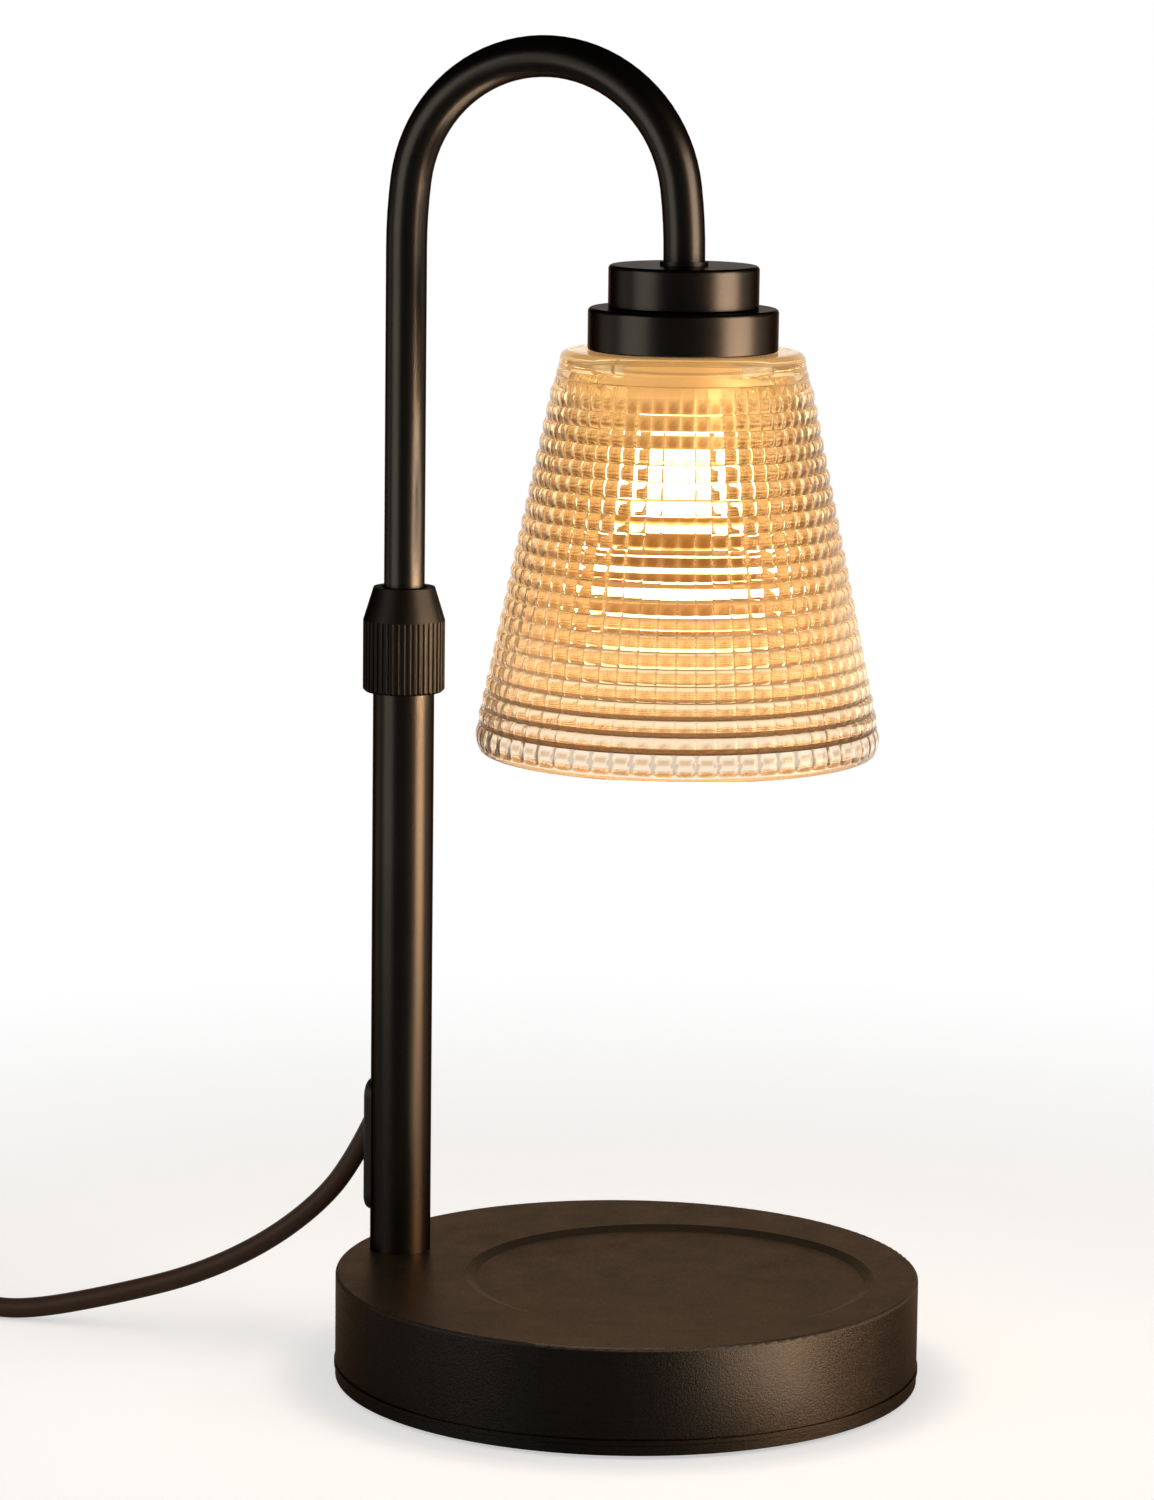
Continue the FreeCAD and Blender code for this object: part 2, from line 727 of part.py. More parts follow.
def make_outlet():
    """Pill-shaped grommet on the back of the pole, and the cord's strain relief inside."""
    plate = new_body("outlet_plate", POLE_X)
    face = new_sketch(plate, "plate_face", "YZ_Plane", "-(pole_radius + outlet_stand)",
                      "base_top + outlet_height")
    add_stadium(face, "outlet_half_width", "outlet_half_height")
    pad(plate, face, "outlet_stand + 2 * pole_wall")
    front = worth(f"{POLE_X} - pole_radius - outlet_stand")
    outline = edges_where(plate, lambda edge: max(abs(v.X - front) for v in edge.Vertexes) < 0.01)
    round_off(plate, outline, "outlet_rounding")
    seat = plate.newObject("PartDesign::SubtractiveCylinder", "plate_seat")
    seat.setExpression("Radius", bound("pole_radius"))
    seat.setExpression("Height", bound("2 * outlet_half_height + base_top"))
    seat.setExpression("Placement.Base.z", bound("outlet_height - outlet_half_height + base_top / 2"))
    doc.recompute()
    insert = new_sketch(plate, "plate_insert", "YZ_Plane", f"-({BORE} + slot_gap)",
                        "base_top + outlet_height")
    add_stadium(insert, "slot_half_width - slot_gap", "outlet_half_height - slot_margin - slot_gap")
    pad(plate, insert, "pole_wall + outlet_stand / 2 - slot_gap", backwards=True)
    bore = plate.newObject("PartDesign::SubtractiveCylinder", "cord_bore")
    turn = FreeCAD.Rotation(FreeCAD.Vector(0, 1, 0), worth("90 - exit_fall"))
    bore.Placement = FreeCAD.Placement(FreeCAD.Vector(0, 0, 0), turn)
    bore.setExpression("Radius", bound("cord_radius + cord_bore_gap"))
    bore.setExpression("Height", bound("2 * outlet_half_height"))
    bore.setExpression("Placement.Rotation.Angle", bound("90 - exit_fall"))
    bore.setExpression("Placement.Base.x", bound(
        "-(pole_radius + outlet_stand) - outlet_half_height * cos(exit_fall)"))
    bore.setExpression("Placement.Base.z", bound(
        "base_top + outlet_height + exit_rise - outlet_half_height * sin(exit_fall)"))
    doc.recompute()

    foot = "(base_top + relief_foot)"
    lead_bore = "lead_radius + lead_gap"
    turned("strain_relief", [
        ("cord_radius + cord_bore_gap", foot),
        ("relief_thin", foot),
        ("relief_thick", f"{foot} + relief_length"),
        (lead_bore, f"{foot} + relief_length"),
        (lead_bore, f"{foot} + relief_hold"),
        ("cord_radius + cord_bore_gap", f"{foot} + relief_hold"),
    ], f"{POLE_X} - cord_inner_shift")


# ---------------------------------------------------------------- twist lock

def make_lock():
    """Threaded sleeve in the pole, split collet and the knurled collar that squeezes it."""
    slide = "tube_radius + slide_gap"
    seat = f"({POLE_TOP} + sleeve_rise)"
    turned("lock_sleeve", [
        (slide, f"{POLE_TOP} - sleeve_spigot"),
        (f"{BORE} - run_gap", f"{POLE_TOP} - sleeve_spigot"),
        (f"{BORE} - run_gap", POLE_TOP),
        ("pole_radius", POLE_TOP),
        ("pole_radius", f"{POLE_TOP} + sleeve_shoulder"),
        ("thread_radius", f"{POLE_TOP} + sleeve_shoulder"),
        ("thread_radius", seat),
        (slide, seat),
    ], POLE_X)

    collet = turned("collet", [
        (slide, seat),
        ("collet_radius", seat),
        ("collet_tip_radius", f"{seat} + collet_length"),
        (slide, f"{seat} + collet_length"),
    ], POLE_X)
    slit = new_sketch(collet, "collet_slit_mark", "XY_Plane", seat)
    add_outline(slit, [("0", "-collet_slit / 2"), ("pole_radius", "-collet_slit / 2"),
                       ("pole_radius", "collet_slit / 2"), ("0", "collet_slit / 2")])
    cut(collet, slit, "collet_length", backwards=True)

    foot = f"({POLE_TOP} - collar_overlap)"
    cone = f"({foot} + knurl_length)"
    top = f"({cone} + cone_length)"
    thread = "thread_radius + thread_gap"
    step = f"{POLE_TOP} + sleeve_shoulder + collet_gap"
    collar = turned("lock_collar", [
        ("pole_radius + collar_skirt_gap", foot),
        ("collar_radius - collar_chamfer", foot),
        ("collar_radius", f"{foot} + collar_chamfer"),
        ("collar_radius", cone),
        ("cone_top_radius", top),
        ("tube_radius + collar_hole_gap", top),
        ("tube_radius + collar_hole_gap", f"{top} - collar_lip"),
        ("collet_tip_radius + collet_gap", f"{top} - collar_lip"),
        ("collet_radius + collet_gap", f"{seat} + collet_gap"),
        (thread, f"{seat} + collet_gap"),
        (thread, step),
        ("pole_radius + collar_skirt_gap", step),
    ], POLE_X)
    groove = new_sketch(collar, "knurl_mark", "XY_Plane", foot)
    add_circle(groove, "knurl_radius", "collar_radius + knurl_radius - knurl_depth")
    groove_cut = cut(collar, groove, "knurl_length", backwards=True)
    repeat_round(collar, [groove_cut], "knurl_count")


# ---------------------------------------------------------------- telescoping arm

def add_arch(sketch, foot, end):
    """Centreline of the arm: up, over in an arch with gentler ends, and down."""
    bend = f"({TUBE_FOOT} + leg_length)"
    ease_x = "(lead_in_radius * (1 - cos(lead_in_angle)))"
    ease_y = f"({bend} + lead_in_radius * sin(lead_in_angle))"
    main = f"(({SPAN} / 2 - {ease_x}) / cos(lead_in_angle))"
    turn = math.radians(worth("lead_in_angle"))
    normal = FreeCAD.Vector(0, 0, 1)

    def spot(x, y):
        return FreeCAD.Vector(worth(x), worth(y), 0)

    main_middle = spot(f"{SPAN} / 2", f"{ease_y} - {main} * sin(lead_in_angle)")
    ease = Part.Circle(spot("lead_in_radius", bend), normal, worth("lead_in_radius"))
    over = Part.Circle(main_middle, normal, worth(main))
    down = Part.Circle(spot(f"{SPAN} - lead_in_radius", bend), normal, worth("lead_in_radius"))
    sketch.addGeometry(Part.LineSegment(spot("0", foot), spot("0", bend)))
    sketch.addGeometry(Part.ArcOfCircle(ease, math.pi - turn, math.pi))
    sketch.addGeometry(Part.ArcOfCircle(over, turn, math.pi - turn))
    sketch.addGeometry(Part.ArcOfCircle(down, 0, turn))
    sketch.addGeometry(Part.LineSegment(spot(SPAN, bend), spot(SPAN, end)))
    for first, first_end, second, second_end in ((0, 2, 1, 2), (1, 1, 2, 2), (2, 1, 3, 2), (3, 1, 4, 1)):
        sketch.addConstraint(Sketcher.Constraint("Coincident", first, first_end, second, second_end))
    pin(sketch, 0, 1, "0", foot)
    pin(sketch, 0, 2, "0", bend)
    pin(sketch, 1, 1, ease_x, ease_y)
    pin(sketch, 2, 1, f"{SPAN} - {ease_x}", ease_y)
    pin(sketch, 4, 1, SPAN, bend)
    pin(sketch, 4, 2, SPAN, end)
    for shape, radius in ((1, "lead_in_radius"), (2, main), (3, "lead_in_radius")):
        rule = sketch.addConstraint(Sketcher.Constraint("Radius", shape, worth(radius)))
        sketch.setExpression(f"Constraints[{rule}]", bound(radius))


def arched(name, radii, foot, end):
    """A tube or rod swept along the arm's centreline."""
    body = new_body(name, POLE_X)
    section = new_sketch(body, name + "_section", "XY_Plane", foot)
    for radius in radii:
        add_circle(section, radius)
    path = new_sketch(body, name + "_path", "XZ_Plane")
    add_arch(path, foot, end)
    pipe = body.newObject("PartDesign::AdditivePipe", name + "_sweep")
    pipe.Profile = section
    pipe.Spine = path
    doc.recompute()
    return body


def make_arm():
    """Arched upper tube, its guide bush, snap rings and the lead inside it."""
    tube = arched("gooseneck_tube", ["tube_radius", "tube_radius - tube_wall"], TUBE_FOOT, CAP_TOP)
    bush = f"({TUBE_FOOT} + bush_rise)"
    clip_feet = (f"({bush} - clip_gap - clip_thickness)", f"({bush} + bush_length + clip_gap)")
    for i, foot in enumerate(clip_feet, start=1):
        groove = new_sketch(tube, f"clip_groove_{i}", "XY_Plane", f"{foot} - run_gap")
        add_circle(groove, "tube_radius - clip_depth")
        add_circle(groove, "tube_radius + tube_wall")
        cut(tube, groove, "clip_thickness + 2 * run_gap", backwards=True)
    turned_ring("guide_bush", "tube_radius + run_gap", f"{BORE} - run_gap",
                bush, f"{bush} + bush_length", POLE_X)
    clips = []
    for i, foot in enumerate(clip_feet, start=1):
        clip = turned_ring(f"tube_clip_{i}", "tube_radius - clip_depth + run_gap",
                           "tube_radius + clip_stand", foot, f"{foot} + clip_thickness", POLE_X)
        NODES.remove(clip)
        clips.append(clip.Shape)
    feature_node("tube_clips", Part.makeCompound(clips))
    arched("lead_upper", ["lead_radius"], TUBE_FOOT, f"{HOLDER_TOP} - lead_hole_depth")


# ---------------------------------------------------------------- head

def rounded_cup(name, radius, foot, top):
    """One tier of the head: an upturned cup with a hole for the stud."""
    hole = "stud_radius + stud_hole_gap"
    cup = turned(name, [
        (hole, f"{top} - cap_roof"),
        (f"{radius} - cap_wall", f"{top} - cap_roof"),
        (f"{radius} - cap_wall", foot),
        (radius, foot),
        (radius, top),
        (hole, top),
    ], "head_offset")
    round_off(cup, rims(cup, radius, top), "cap_rounding")
    round_off(cup, rims(cup, radius, foot), "cap_foot_rounding")
    return cup


def make_head():
    """Two-tier head, the hollow stud through it, its washer, nut and the ring above."""
    rounded_cup("cap_upper", "cap_upper_radius", CAP_STEP, CAP_TOP)
    rounded_cup("cap_lower", "cap_lower_radius", CAP_FOOT, CAP_STEP)
    turned_ring("tube_ring", "tube_radius + tube_ring_gap", "tube_radius + tube_ring_stand",
                CAP_TOP, f"{CAP_TOP} + tube_ring_height", "head_offset")
    insert = "tube_radius - tube_wall - stud_gap"
    turned("arm_stud", [
        ("stud_bore", STUD_FOOT),
        ("stud_radius", STUD_FOOT),
        ("stud_radius", CAP_TOP),
        (insert, CAP_TOP),
        (insert, f"{CAP_TOP} + stud_insert"),
        ("stud_bore", f"{CAP_TOP} + stud_insert"),
    ], "head_offset")
    turned_ring("head_washer", "stud_radius + stud_hole_gap", "head_washer_radius",
                CARRIER_TOP, f"{CARRIER_TOP} + head_washer_thickness", "head_offset")
    nut = new_body("head_nut", "head_offset")
    shape = new_sketch(nut, "nut_shape", "XY_Plane", NUT_FOOT)
    add_hexagon(shape, "head_nut_across")
    pad(nut, shape, "head_nut_height")
    thread = new_sketch(nut, "nut_thread", "XY_Plane", NUT_FOOT)
    add_circle(thread, "stud_radius + screw_gap")
    cut(nut, thread, "head_nut_height", backwards=True)


# ---------------------------------------------------------------- shade

def make_shade():
    """Pressed-glass cone of stepped rows with a plain band above and a plain lip below."""
    top = SHADE_TOP
    foot = f"({top} - shade_height)"
    rows_top = f"({top} - shade_plain_top)"
    rows_foot = f"({foot} + shade_plain_foot)"
    shoulder = f"({top} - shade_shoulder)"
    slope = f"((shade_rows_radius - shade_top_radius) / ({shoulder} - {rows_foot}))"
    pitch = f"(({rows_top} - {rows_foot}) / shade_row_count)"

    def radius(height):
        return f"shade_top_radius + {slope} * ({shoulder} - {height})"

    roof = f"({top} - shade_roof)"
    inner_foot = "shade_rows_radius - shade_wall"
    outline = [
        ("carrier_radius + shade_hole_gap", roof),
        (f"{radius(roof)} - shade_wall", roof),
        (inner_foot, rows_foot),
        (inner_foot, foot),
        ("shade_lip_radius", foot),
        ("shade_lip_radius", f"{rows_foot} - shade_lip_rounding"),
        ("shade_lip_radius - shade_row_fall", rows_foot),
    ]
    for row in reversed(range(int(worth("shade_row_count")))):
        height = f"({rows_top} - {row} * {pitch})"
        size = radius(f"({height} - {pitch})")
        outline += [
            (size, f"{height} - {pitch}"),
            (size, f"{height} - shade_row_fall"),
            (f"{size} - shade_row_bevel", height),
        ]
    outline += [
        (radius(rows_top), rows_top),
        ("shade_top_radius", top),
        ("carrier_radius + shade_hole_gap", top),
    ]
    shade = turned("glass_shade", outline, "head_offset")
    round_off(shade, rims(shade, "shade_top_radius", top), "shade_shoulder")
    round_off(shade, rims(shade, "shade_lip_radius", foot) + rims(shade, inner_foot, foot),
              "shade_lip_rounding")


def make_shade_fixing():
    """Threaded carrier, ring and gasket that hold the glass up against the head."""
    roof = f"({CARRIER_TOP} - carrier_roof)"
    bore = "carrier_radius - carrier_wall"
    carrier = turned("shade_carrier", [
        ("stud_radius + stud_hole_gap", roof),
        (bore, roof),
        (bore, f"{CAP_FOOT} - carrier_drop"),
        ("carrier_radius", f"{CAP_FOOT} - carrier_drop"),
        ("carrier_radius", CARRIER_TOP),
        ("stud_radius + stud_hole_gap", CARRIER_TOP),
    ], "head_offset")
    hole = new_sketch(carrier, "holder_screw_hole", "XY_Plane", CARRIER_TOP)
    add_circle(hole, "screw_radius + screw_gap", "0", POST_OFFSET)
    hole_cut = cut(carrier, hole, "carrier_roof")
    repeat_round(carrier, [hole_cut], "2")

    seat = f"({SHADE_TOP} - shade_roof - gasket_thickness)"
    turned_ring("shade_gasket", "carrier_radius + ring_gap", "shade_ring_radius",
                seat, f"{seat} + gasket_thickness", "head_offset")
    turned_ring("shade_ring", "carrier_radius + ring_gap", "shade_ring_radius",
                f"{seat} - shade_ring_height", seat, "head_offset")


# ---------------------------------------------------------------- lamp holder and bulb

def make_holder():
    """Ceramic holder with two keyholes for the bulb's pins, its contacts and screws."""
    foot = f"({HOLDER_TOP} - holder_height)"
    holder = turned_ring("lamp_holder", "0", "carrier_radius - carrier_wall - holder_gap",
                         foot, HOLDER_TOP, "head_offset")
    post = new_sketch(holder, "holder_post", "XY_Plane", HOLDER_TOP)
    add_circle(post, "holder_post_radius", "0", POST_OFFSET)
    post_pad = pad(holder, post, f"{CARRIER_TOP} - carrier_roof - {HOLDER_TOP}")
    repeat_round(holder, [post_pad], "2")
    bore = new_sketch(holder, "holder_post_bore", "XY_Plane", f"{CARRIER_TOP} - carrier_roof")
    add_circle(bore, "screw_radius + screw_gap", "0", POST_OFFSET)
    bore_cut = cut(holder, bore, "holder_screw_reach + screw_gap")
    repeat_round(holder, [bore_cut], "2")
    wire = new_sketch(holder, "wire_hole", "XY_Plane", HOLDER_TOP)
    add_circle(wire, "lead_radius + lead_gap")
    cut(holder, wire, "lead_hole_depth")

    entry = ("pin_offset * cos(bulb_turn)", "pin_offset * sin(bulb_turn)")
    keyhole_sweep(holder, "keyhole_room", "pin_head_radius + keyhole_gap", f"{foot} + keyhole_face",
                  f"{foot} + keyhole_depth", entry)
    keyhole_sweep(holder, "keyhole_slot", "pin_neck_radius + keyhole_gap", foot,
                  f"{foot} + keyhole_face", entry)
    way_in = new_sketch(holder, "keyhole_entry", "XY_Plane", foot)
    add_circle(way_in, "pin_head_radius + keyhole_gap", *entry)
    way_cut = cut(holder, way_in, "keyhole_face", backwards=True)
    repeat_round(holder, [way_cut], "2")

    group_round("holder_contacts", lambda: make_contact(f"{foot} + keyhole_depth"), "2", "head_offset")
    group_round("holder_screws", make_holder_screw, "2", "head_offset")


def keyhole_sweep(holder, name, half_width, foot, top, entry):
    """The space that a round of that radius sweeps from the pins' rest to their entry."""
    ends = []
    for i, (x, y) in enumerate((("pin_offset", "0"), entry), start=1):
        end = new_sketch(holder, f"{name}_end_{i}", "XY_Plane", foot)
        add_circle(end, half_width, x, y)
        ends.append(cut(holder, end, f"{top} - ({foot})", backwards=True))
    sweep = new_sketch(holder, name + "_sweep", "XZ_Plane")
    add_outline(sweep, [
        (f"pin_offset - ({half_width})", foot),
        (f"pin_offset + {half_width}", foot),
        (f"pin_offset + {half_width}", top),
        (f"pin_offset - ({half_width})", top),
    ])
    groove = holder.newObject("PartDesign::Groove", name + "_arc")
    groove.Profile = sweep
    groove.ReferenceAxis = (sweep, ["V_Axis"])
    groove.setExpression("Angle", bound("bulb_turn"))
    doc.recompute()
    repeat_round(holder, ends + [groove], "2")


def make_contact(ceiling):
    """One spring contact, under the ceiling of its keyhole."""
    contact = new_body("holder_contact")
    shape = new_sketch(contact, "contact_shape", "XY_Plane", ceiling)
    add_outline(shape, box_corners("contact_half_length", "contact_half_width", "pin_offset"))
    pad(contact, shape, "contact_thickness", backwards=True)
    return contact


def make_holder_screw():
    """One screw from the carrier's roof into a post of the holder."""
    return turned("holder_screw", [
        ("0", f"{CARRIER_TOP} - carrier_roof - holder_screw_reach"),
        ("screw_radius", f"{CARRIER_TOP} - carrier_roof - holder_screw_reach"),
        ("screw_radius", CARRIER_TOP),
        ("holder_screw_head", CARRIER_TOP),
        ("holder_screw_head", f"{CARRIER_TOP} + holder_screw_head_height"),
        ("0", f"{CARRIER_TOP} + holder_screw_head_height"),
    ], "0", POST_OFFSET)


def make_bulb():
    """Two-pin reflector bulb: bowl, front lens, inner capsule, base and pins."""
    base_top = f"({HOLDER_TOP} - holder_height - bulb_gap)"
    neck = f"({base_top} - bulb_base_length)"
    rim = f"({neck} - bulb_bowl_length)"
    face = f"({rim} - bulb_rim_height)"
    steps = 6

    def bowl(share, inset):
        fall = f"(bulb_radius ^ 2 - bulb_base_radius ^ 2) * {share}"
        return (f"sqrt(bulb_radius ^ 2 - {fall}) - {inset}", f"{rim} + bulb_bowl_length * {share}")

    outside = [bowl(f"{i} / {steps}", "0") for i in range(steps + 1)]
    inside = [bowl(f"{i} / {steps}", "bulb_glass") for i in range(steps + 1)]
    outline = [("bulb_radius - bulb_glass", face), ("bulb_radius", face)]
    turned("bulb_reflector", outline + outside + inside[::-1], "head_offset")

    lens = f"({face} + lens_inset)"
    turned_ring("bulb_lens", "0", "bulb_radius - bulb_glass - screw_gap",
                lens, f"{lens} + lens_thickness", "head_offset")
    capsule = turned_ring("bulb_capsule", "0", "capsule_radius",
                          f"{neck} - capsule_length", neck, "head_offset")
    round_off(capsule, rims(capsule, "capsule_radius", f"{neck} - capsule_length"),
              "capsule_radius / 2")
    turned_ring("bulb_base", "0", "bulb_base_radius", neck, base_top, "head_offset")
    group_round("bulb_pins", lambda: turned("bulb_pin", [
        ("0", base_top),
        ("pin_neck_radius", base_top),
        ("pin_neck_radius", f"{base_top} + pin_length - pin_head_height"),
        ("pin_head_radius", f"{base_top} + pin_length - pin_head_height"),
        ("pin_head_radius", f"{base_top} + pin_length"),
        ("0", f"{base_top} + pin_length"),
    ], "pin_offset"), "2", "head_offset")


# ---------------------------------------------------------------- in-line dimmer

def make_dimmer_shells():
    """Lower tray and upper shell of the in-line dimmer, with their screw posts."""
    tray = new_body("dimmer_base", DIMMER_X, DIMMER_Y)
    outside = new_sketch(tray, "tray_outside")
    add_rounded_box(outside, "dimmer_half_length", "dimmer_half_width", "dimmer_corner")
    pad(tray, outside, "dimmer_split")
    hollow_box(tray, "tray_hollow", "dimmer_split", "dimmer_split - dimmer_wall", False)
    post = new_sketch(tray, "tray_post", "XY_Plane", "dimmer_wall")
    add_circle(post, "post_radius", "post_offset")
    post_pad = pad(tray, post, "board_foot - dimmer_wall")
    repeat_round(tray, [post_pad], "2")
    hole = new_sketch(tray, "tray_screw_hole")
    add_circle(hole, "dimmer_screw_radius + screw_gap", "post_offset")
    seat = new_sketch(tray, "tray_screw_seat")
    add_circle(seat, "dimmer_screw_head + screw_gap", "post_offset")
    hole_cut = cut(tray, hole, "board_foot", backwards=True)
    seat_cut = cut(tray, seat, "screw_head_height", backwards=True)
    repeat_round(tray, [hole_cut, seat_cut], "2")
    gate = new_sketch(tray, "boot_hole", "YZ_Plane", "dimmer_half_length", "cord_axis_height")
    add_circle(gate, "cord_radius + cord_bore_gap")
    gate_cut = cut(tray, gate, "dimmer_wall")
    repeat_round(tray, [gate_cut], "2")

    shell = new_body("dimmer_cover", DIMMER_X, DIMMER_Y)
    outside = new_sketch(shell, "shell_outside", "XY_Plane", "dimmer_split")
    add_rounded_box(outside, "dimmer_half_length", "dimmer_half_width", "dimmer_corner")
    pad(shell, outside, "dimmer_height - dimmer_split")
    level = worth("dimmer_height")
    top_edges = edges_where(shell, lambda edge: min(v.Z for v in edge.Vertexes) > level - 0.01)
    round_off(shell, top_edges, "dimmer_rounding")
    hollow_box(shell, "shell_hollow", "dimmer_split", "dimmer_height - dimmer_wall - dimmer_split", True)
    post = new_sketch(shell, "shell_post", "XY_Plane", BOARD_TOP)
    add_circle(post, "post_radius", "post_offset")
    post_pad = pad(shell, post, f"dimmer_height - dimmer_wall / 2 - {BOARD_TOP}")
    bore = new_sketch(shell, "shell_screw_bore", "XY_Plane", BOARD_TOP)
    add_circle(bore, "dimmer_screw_radius + screw_gap", "post_offset")
    bore_cut = cut(shell, bore, f"screw_head_height + dimmer_screw_length - {BOARD_TOP}", backwards=True)
    repeat_round(shell, [post_pad, bore_cut], "2")
    for name, radius, x in (("dial_hole", "dial_shaft_radius", "dial_offset"),
                            ("button_hole", "button_radius", "-button_offset")):
        hole = new_sketch(shell, name, "XY_Plane", "dimmer_height")
        add_circle(hole, f"{radius} + run_gap", x)
        cut(shell, hole, "dimmer_wall")


def hollow_box(shell, name, lift, depth, upwards):
    """Hollow out a shell of the dimmer to its wall."""
    inside = new_sketch(shell, name, "XY_Plane", lift)
    add_rounded_box(inside, "dimmer_half_length - dimmer_wall", "dimmer_half_width - dimmer_wall",
                    "dimmer_corner - dimmer_wall")
    cut(shell, inside, depth, backwards=upwards)


def box_corners(half_x, half_y, x="0"):
    """Corners of a plain rectangle about a point of the sketch's own X axis."""
    return [(f"{x} - ({half_x})", f"-({half_y})"), (f"{x} + {half_x}", f"-({half_y})"),
            (f"{x} + {half_x}", half_y), (f"{x} - ({half_x})", half_y)]


def make_dimmer_works():
    """Board, rotary control, dial, timer button, its switch, screws and cord boots."""
    board = new_body("circuit_board", DIMMER_X, DIMMER_Y)
    plate = new_sketch(board, "board_shape", "XY_Plane", "board_foot")
    add_rounded_box(plate, "board_half_length", "board_half_width", "dimmer_corner / 2")
    pad(board, plate, "board_thickness")
    hole = new_sketch(board, "board_hole", "XY_Plane", "board_foot")
    add_circle(hole, "dimmer_screw_radius + screw_gap", "post_offset")
    hole_cut = cut(board, hole, "board_thickness", backwards=True)
    repeat_round(board, [hole_cut], "2")

    dial_x = f"{DIMMER_X} + dial_offset"
    button_x = f"{DIMMER_X} - button_offset"
    control = new_body("dial_control", dial_x, DIMMER_Y)
    case = new_sketch(control, "control_case", "XY_Plane", BOARD_TOP)
    add_outline(case, box_corners("control_half_size", "control_half_size"))
    pad(control, case, "control_height")
    socket = new_sketch(control, "shaft_socket", "XY_Plane", f"{BOARD_TOP} + control_height")
    add_circle(socket, "dial_shaft_radius + run_gap")
    cut(control, socket, "dial_shaft_sink + dial_gap")

    dial_foot = "dimmer_height + dial_gap"
    dial = turned("dimmer_dial", [
        ("0", f"{BOARD_TOP} + control_height - dial_shaft_sink"),
        ("dial_shaft_radius", f"{BOARD_TOP} + control_height - dial_shaft_sink"),
        ("dial_shaft_radius", dial_foot),
        ("dial_radius", dial_foot),
        ("dial_radius", f"{dial_foot} + dial_height"),
        ("0", f"{dial_foot} + dial_height"),
    ], dial_x, DIMMER_Y)
    groove = new_sketch(dial, "dial_groove", "XY_Plane", dial_foot)
    add_circle(groove, "dial_groove_radius", "dial_radius + dial_groove_radius - dial_groove_depth")
    groove_cut = cut(dial, groove, "dial_height", backwards=True)
    repeat_round(dial, [groove_cut], "dial_groove_count")

    switch = new_body("timer_switch", button_x, DIMMER_Y)
    case = new_sketch(switch, "switch_case", "XY_Plane", BOARD_TOP)
    add_outline(case, box_corners("switch_half_size", "switch_half_size"))
    pad(switch, case, "switch_height")

    stem_foot = f"{BOARD_TOP} + switch_height + button_travel + 2 * run_gap"
    flange_top = "dimmer_height - dimmer_wall - run_gap"
    flange = "button_radius + button_flange"
    turned("timer_button", [
        ("0", stem_foot),
        ("button_stem", stem_foot),
        ("button_stem", f"{flange_top} - button_flange"),
        (flange, f"{flange_top} - button_flange"),
        (flange, flange_top),
        ("button_radius", flange_top),
        ("button_radius", "dimmer_height + button_stand"),
        ("0", "dimmer_height + button_stand"),
    ], button_x, DIMMER_Y)

    group_round("dimmer_screws", lambda: turned("dimmer_screw", [
        ("0", "0"),
        ("dimmer_screw_head", "0"),
        ("dimmer_screw_head", "screw_head_height"),
        ("dimmer_screw_radius", "screw_head_height"),
        ("dimmer_screw_radius", "screw_head_height + dimmer_screw_length - 2 * run_gap"),
        ("0", "screw_head_height + dimmer_screw_length - 2 * run_gap"),
    ], "post_offset"), "2", DIMMER_X, DIMMER_Y)

    end = "dimmer_half_length"
    group_round("dimmer_boots", lambda: turned_level("dimmer_boot", [
        (f"{end} - boot_neck", "0"),
        (f"{end} - boot_neck", "cord_radius"),
        (end, "cord_radius"),
        (end, "boot_thick"),
        (f"{end} + boot_length", "boot_thin"),
        (f"{end} + boot_length", "cord_radius + cord_bore_gap"),
        (f"{end} + boot_length - boot_hold", "cord_radius + cord_bore_gap"),
        (f"{end} + boot_length - boot_hold", "0"),
    ], "0", "0", "cord_axis_height"), "2", DIMMER_X, DIMMER_Y)


# ---------------------------------------------------------------- cord, coil and plug

# Corners of the cord's routes, from the pole's axis and the floor.
LAMP_SIDE_ROUTE = [
    (-2.7, 0.0, 84.0),
    (-2.7, 0.0, 72.0),
    (-14.6, 0.0, 48.5),
    (-23.7, -1.2, 37.4),
    (-38.2, -2.2, 25.9),
    (-56.7, -4.1, 16.1),
    (-78.7, -6.1, 9.0),
    (-103.6, -9.1, 2.7),
    (-117.3, -10.7, 2.7),
    (-130.3, -11.0, 6.2),
    (-144.8, -11.0, 6.2),
]
COIL_SIDE_ROUTE = [
    (-228.8, -11.0, 6.2),
    (-243.3, -11.0, 6.2),
    (-256.6, -11.0, 2.75),
    (-267.3, -11.0, 2.75),
]
PLUG_SIDE_ROUTE = [
    (-267.3, 67.0, 8.15),
    (-245.3, 67.0, 8.15),
]
# Waves of the spare lead in the pole: sideways, across, and share of the height to the tube's foot.
LEAD_WAVES = [
    (-2.7, 0.0, 0.0),
    (1.8, 0.6, 0.293),
    (-1.5, -0.5, 0.585),
    (0.0, 0.0, 0.805),
    (0.0, 0.0, 1.0),
]


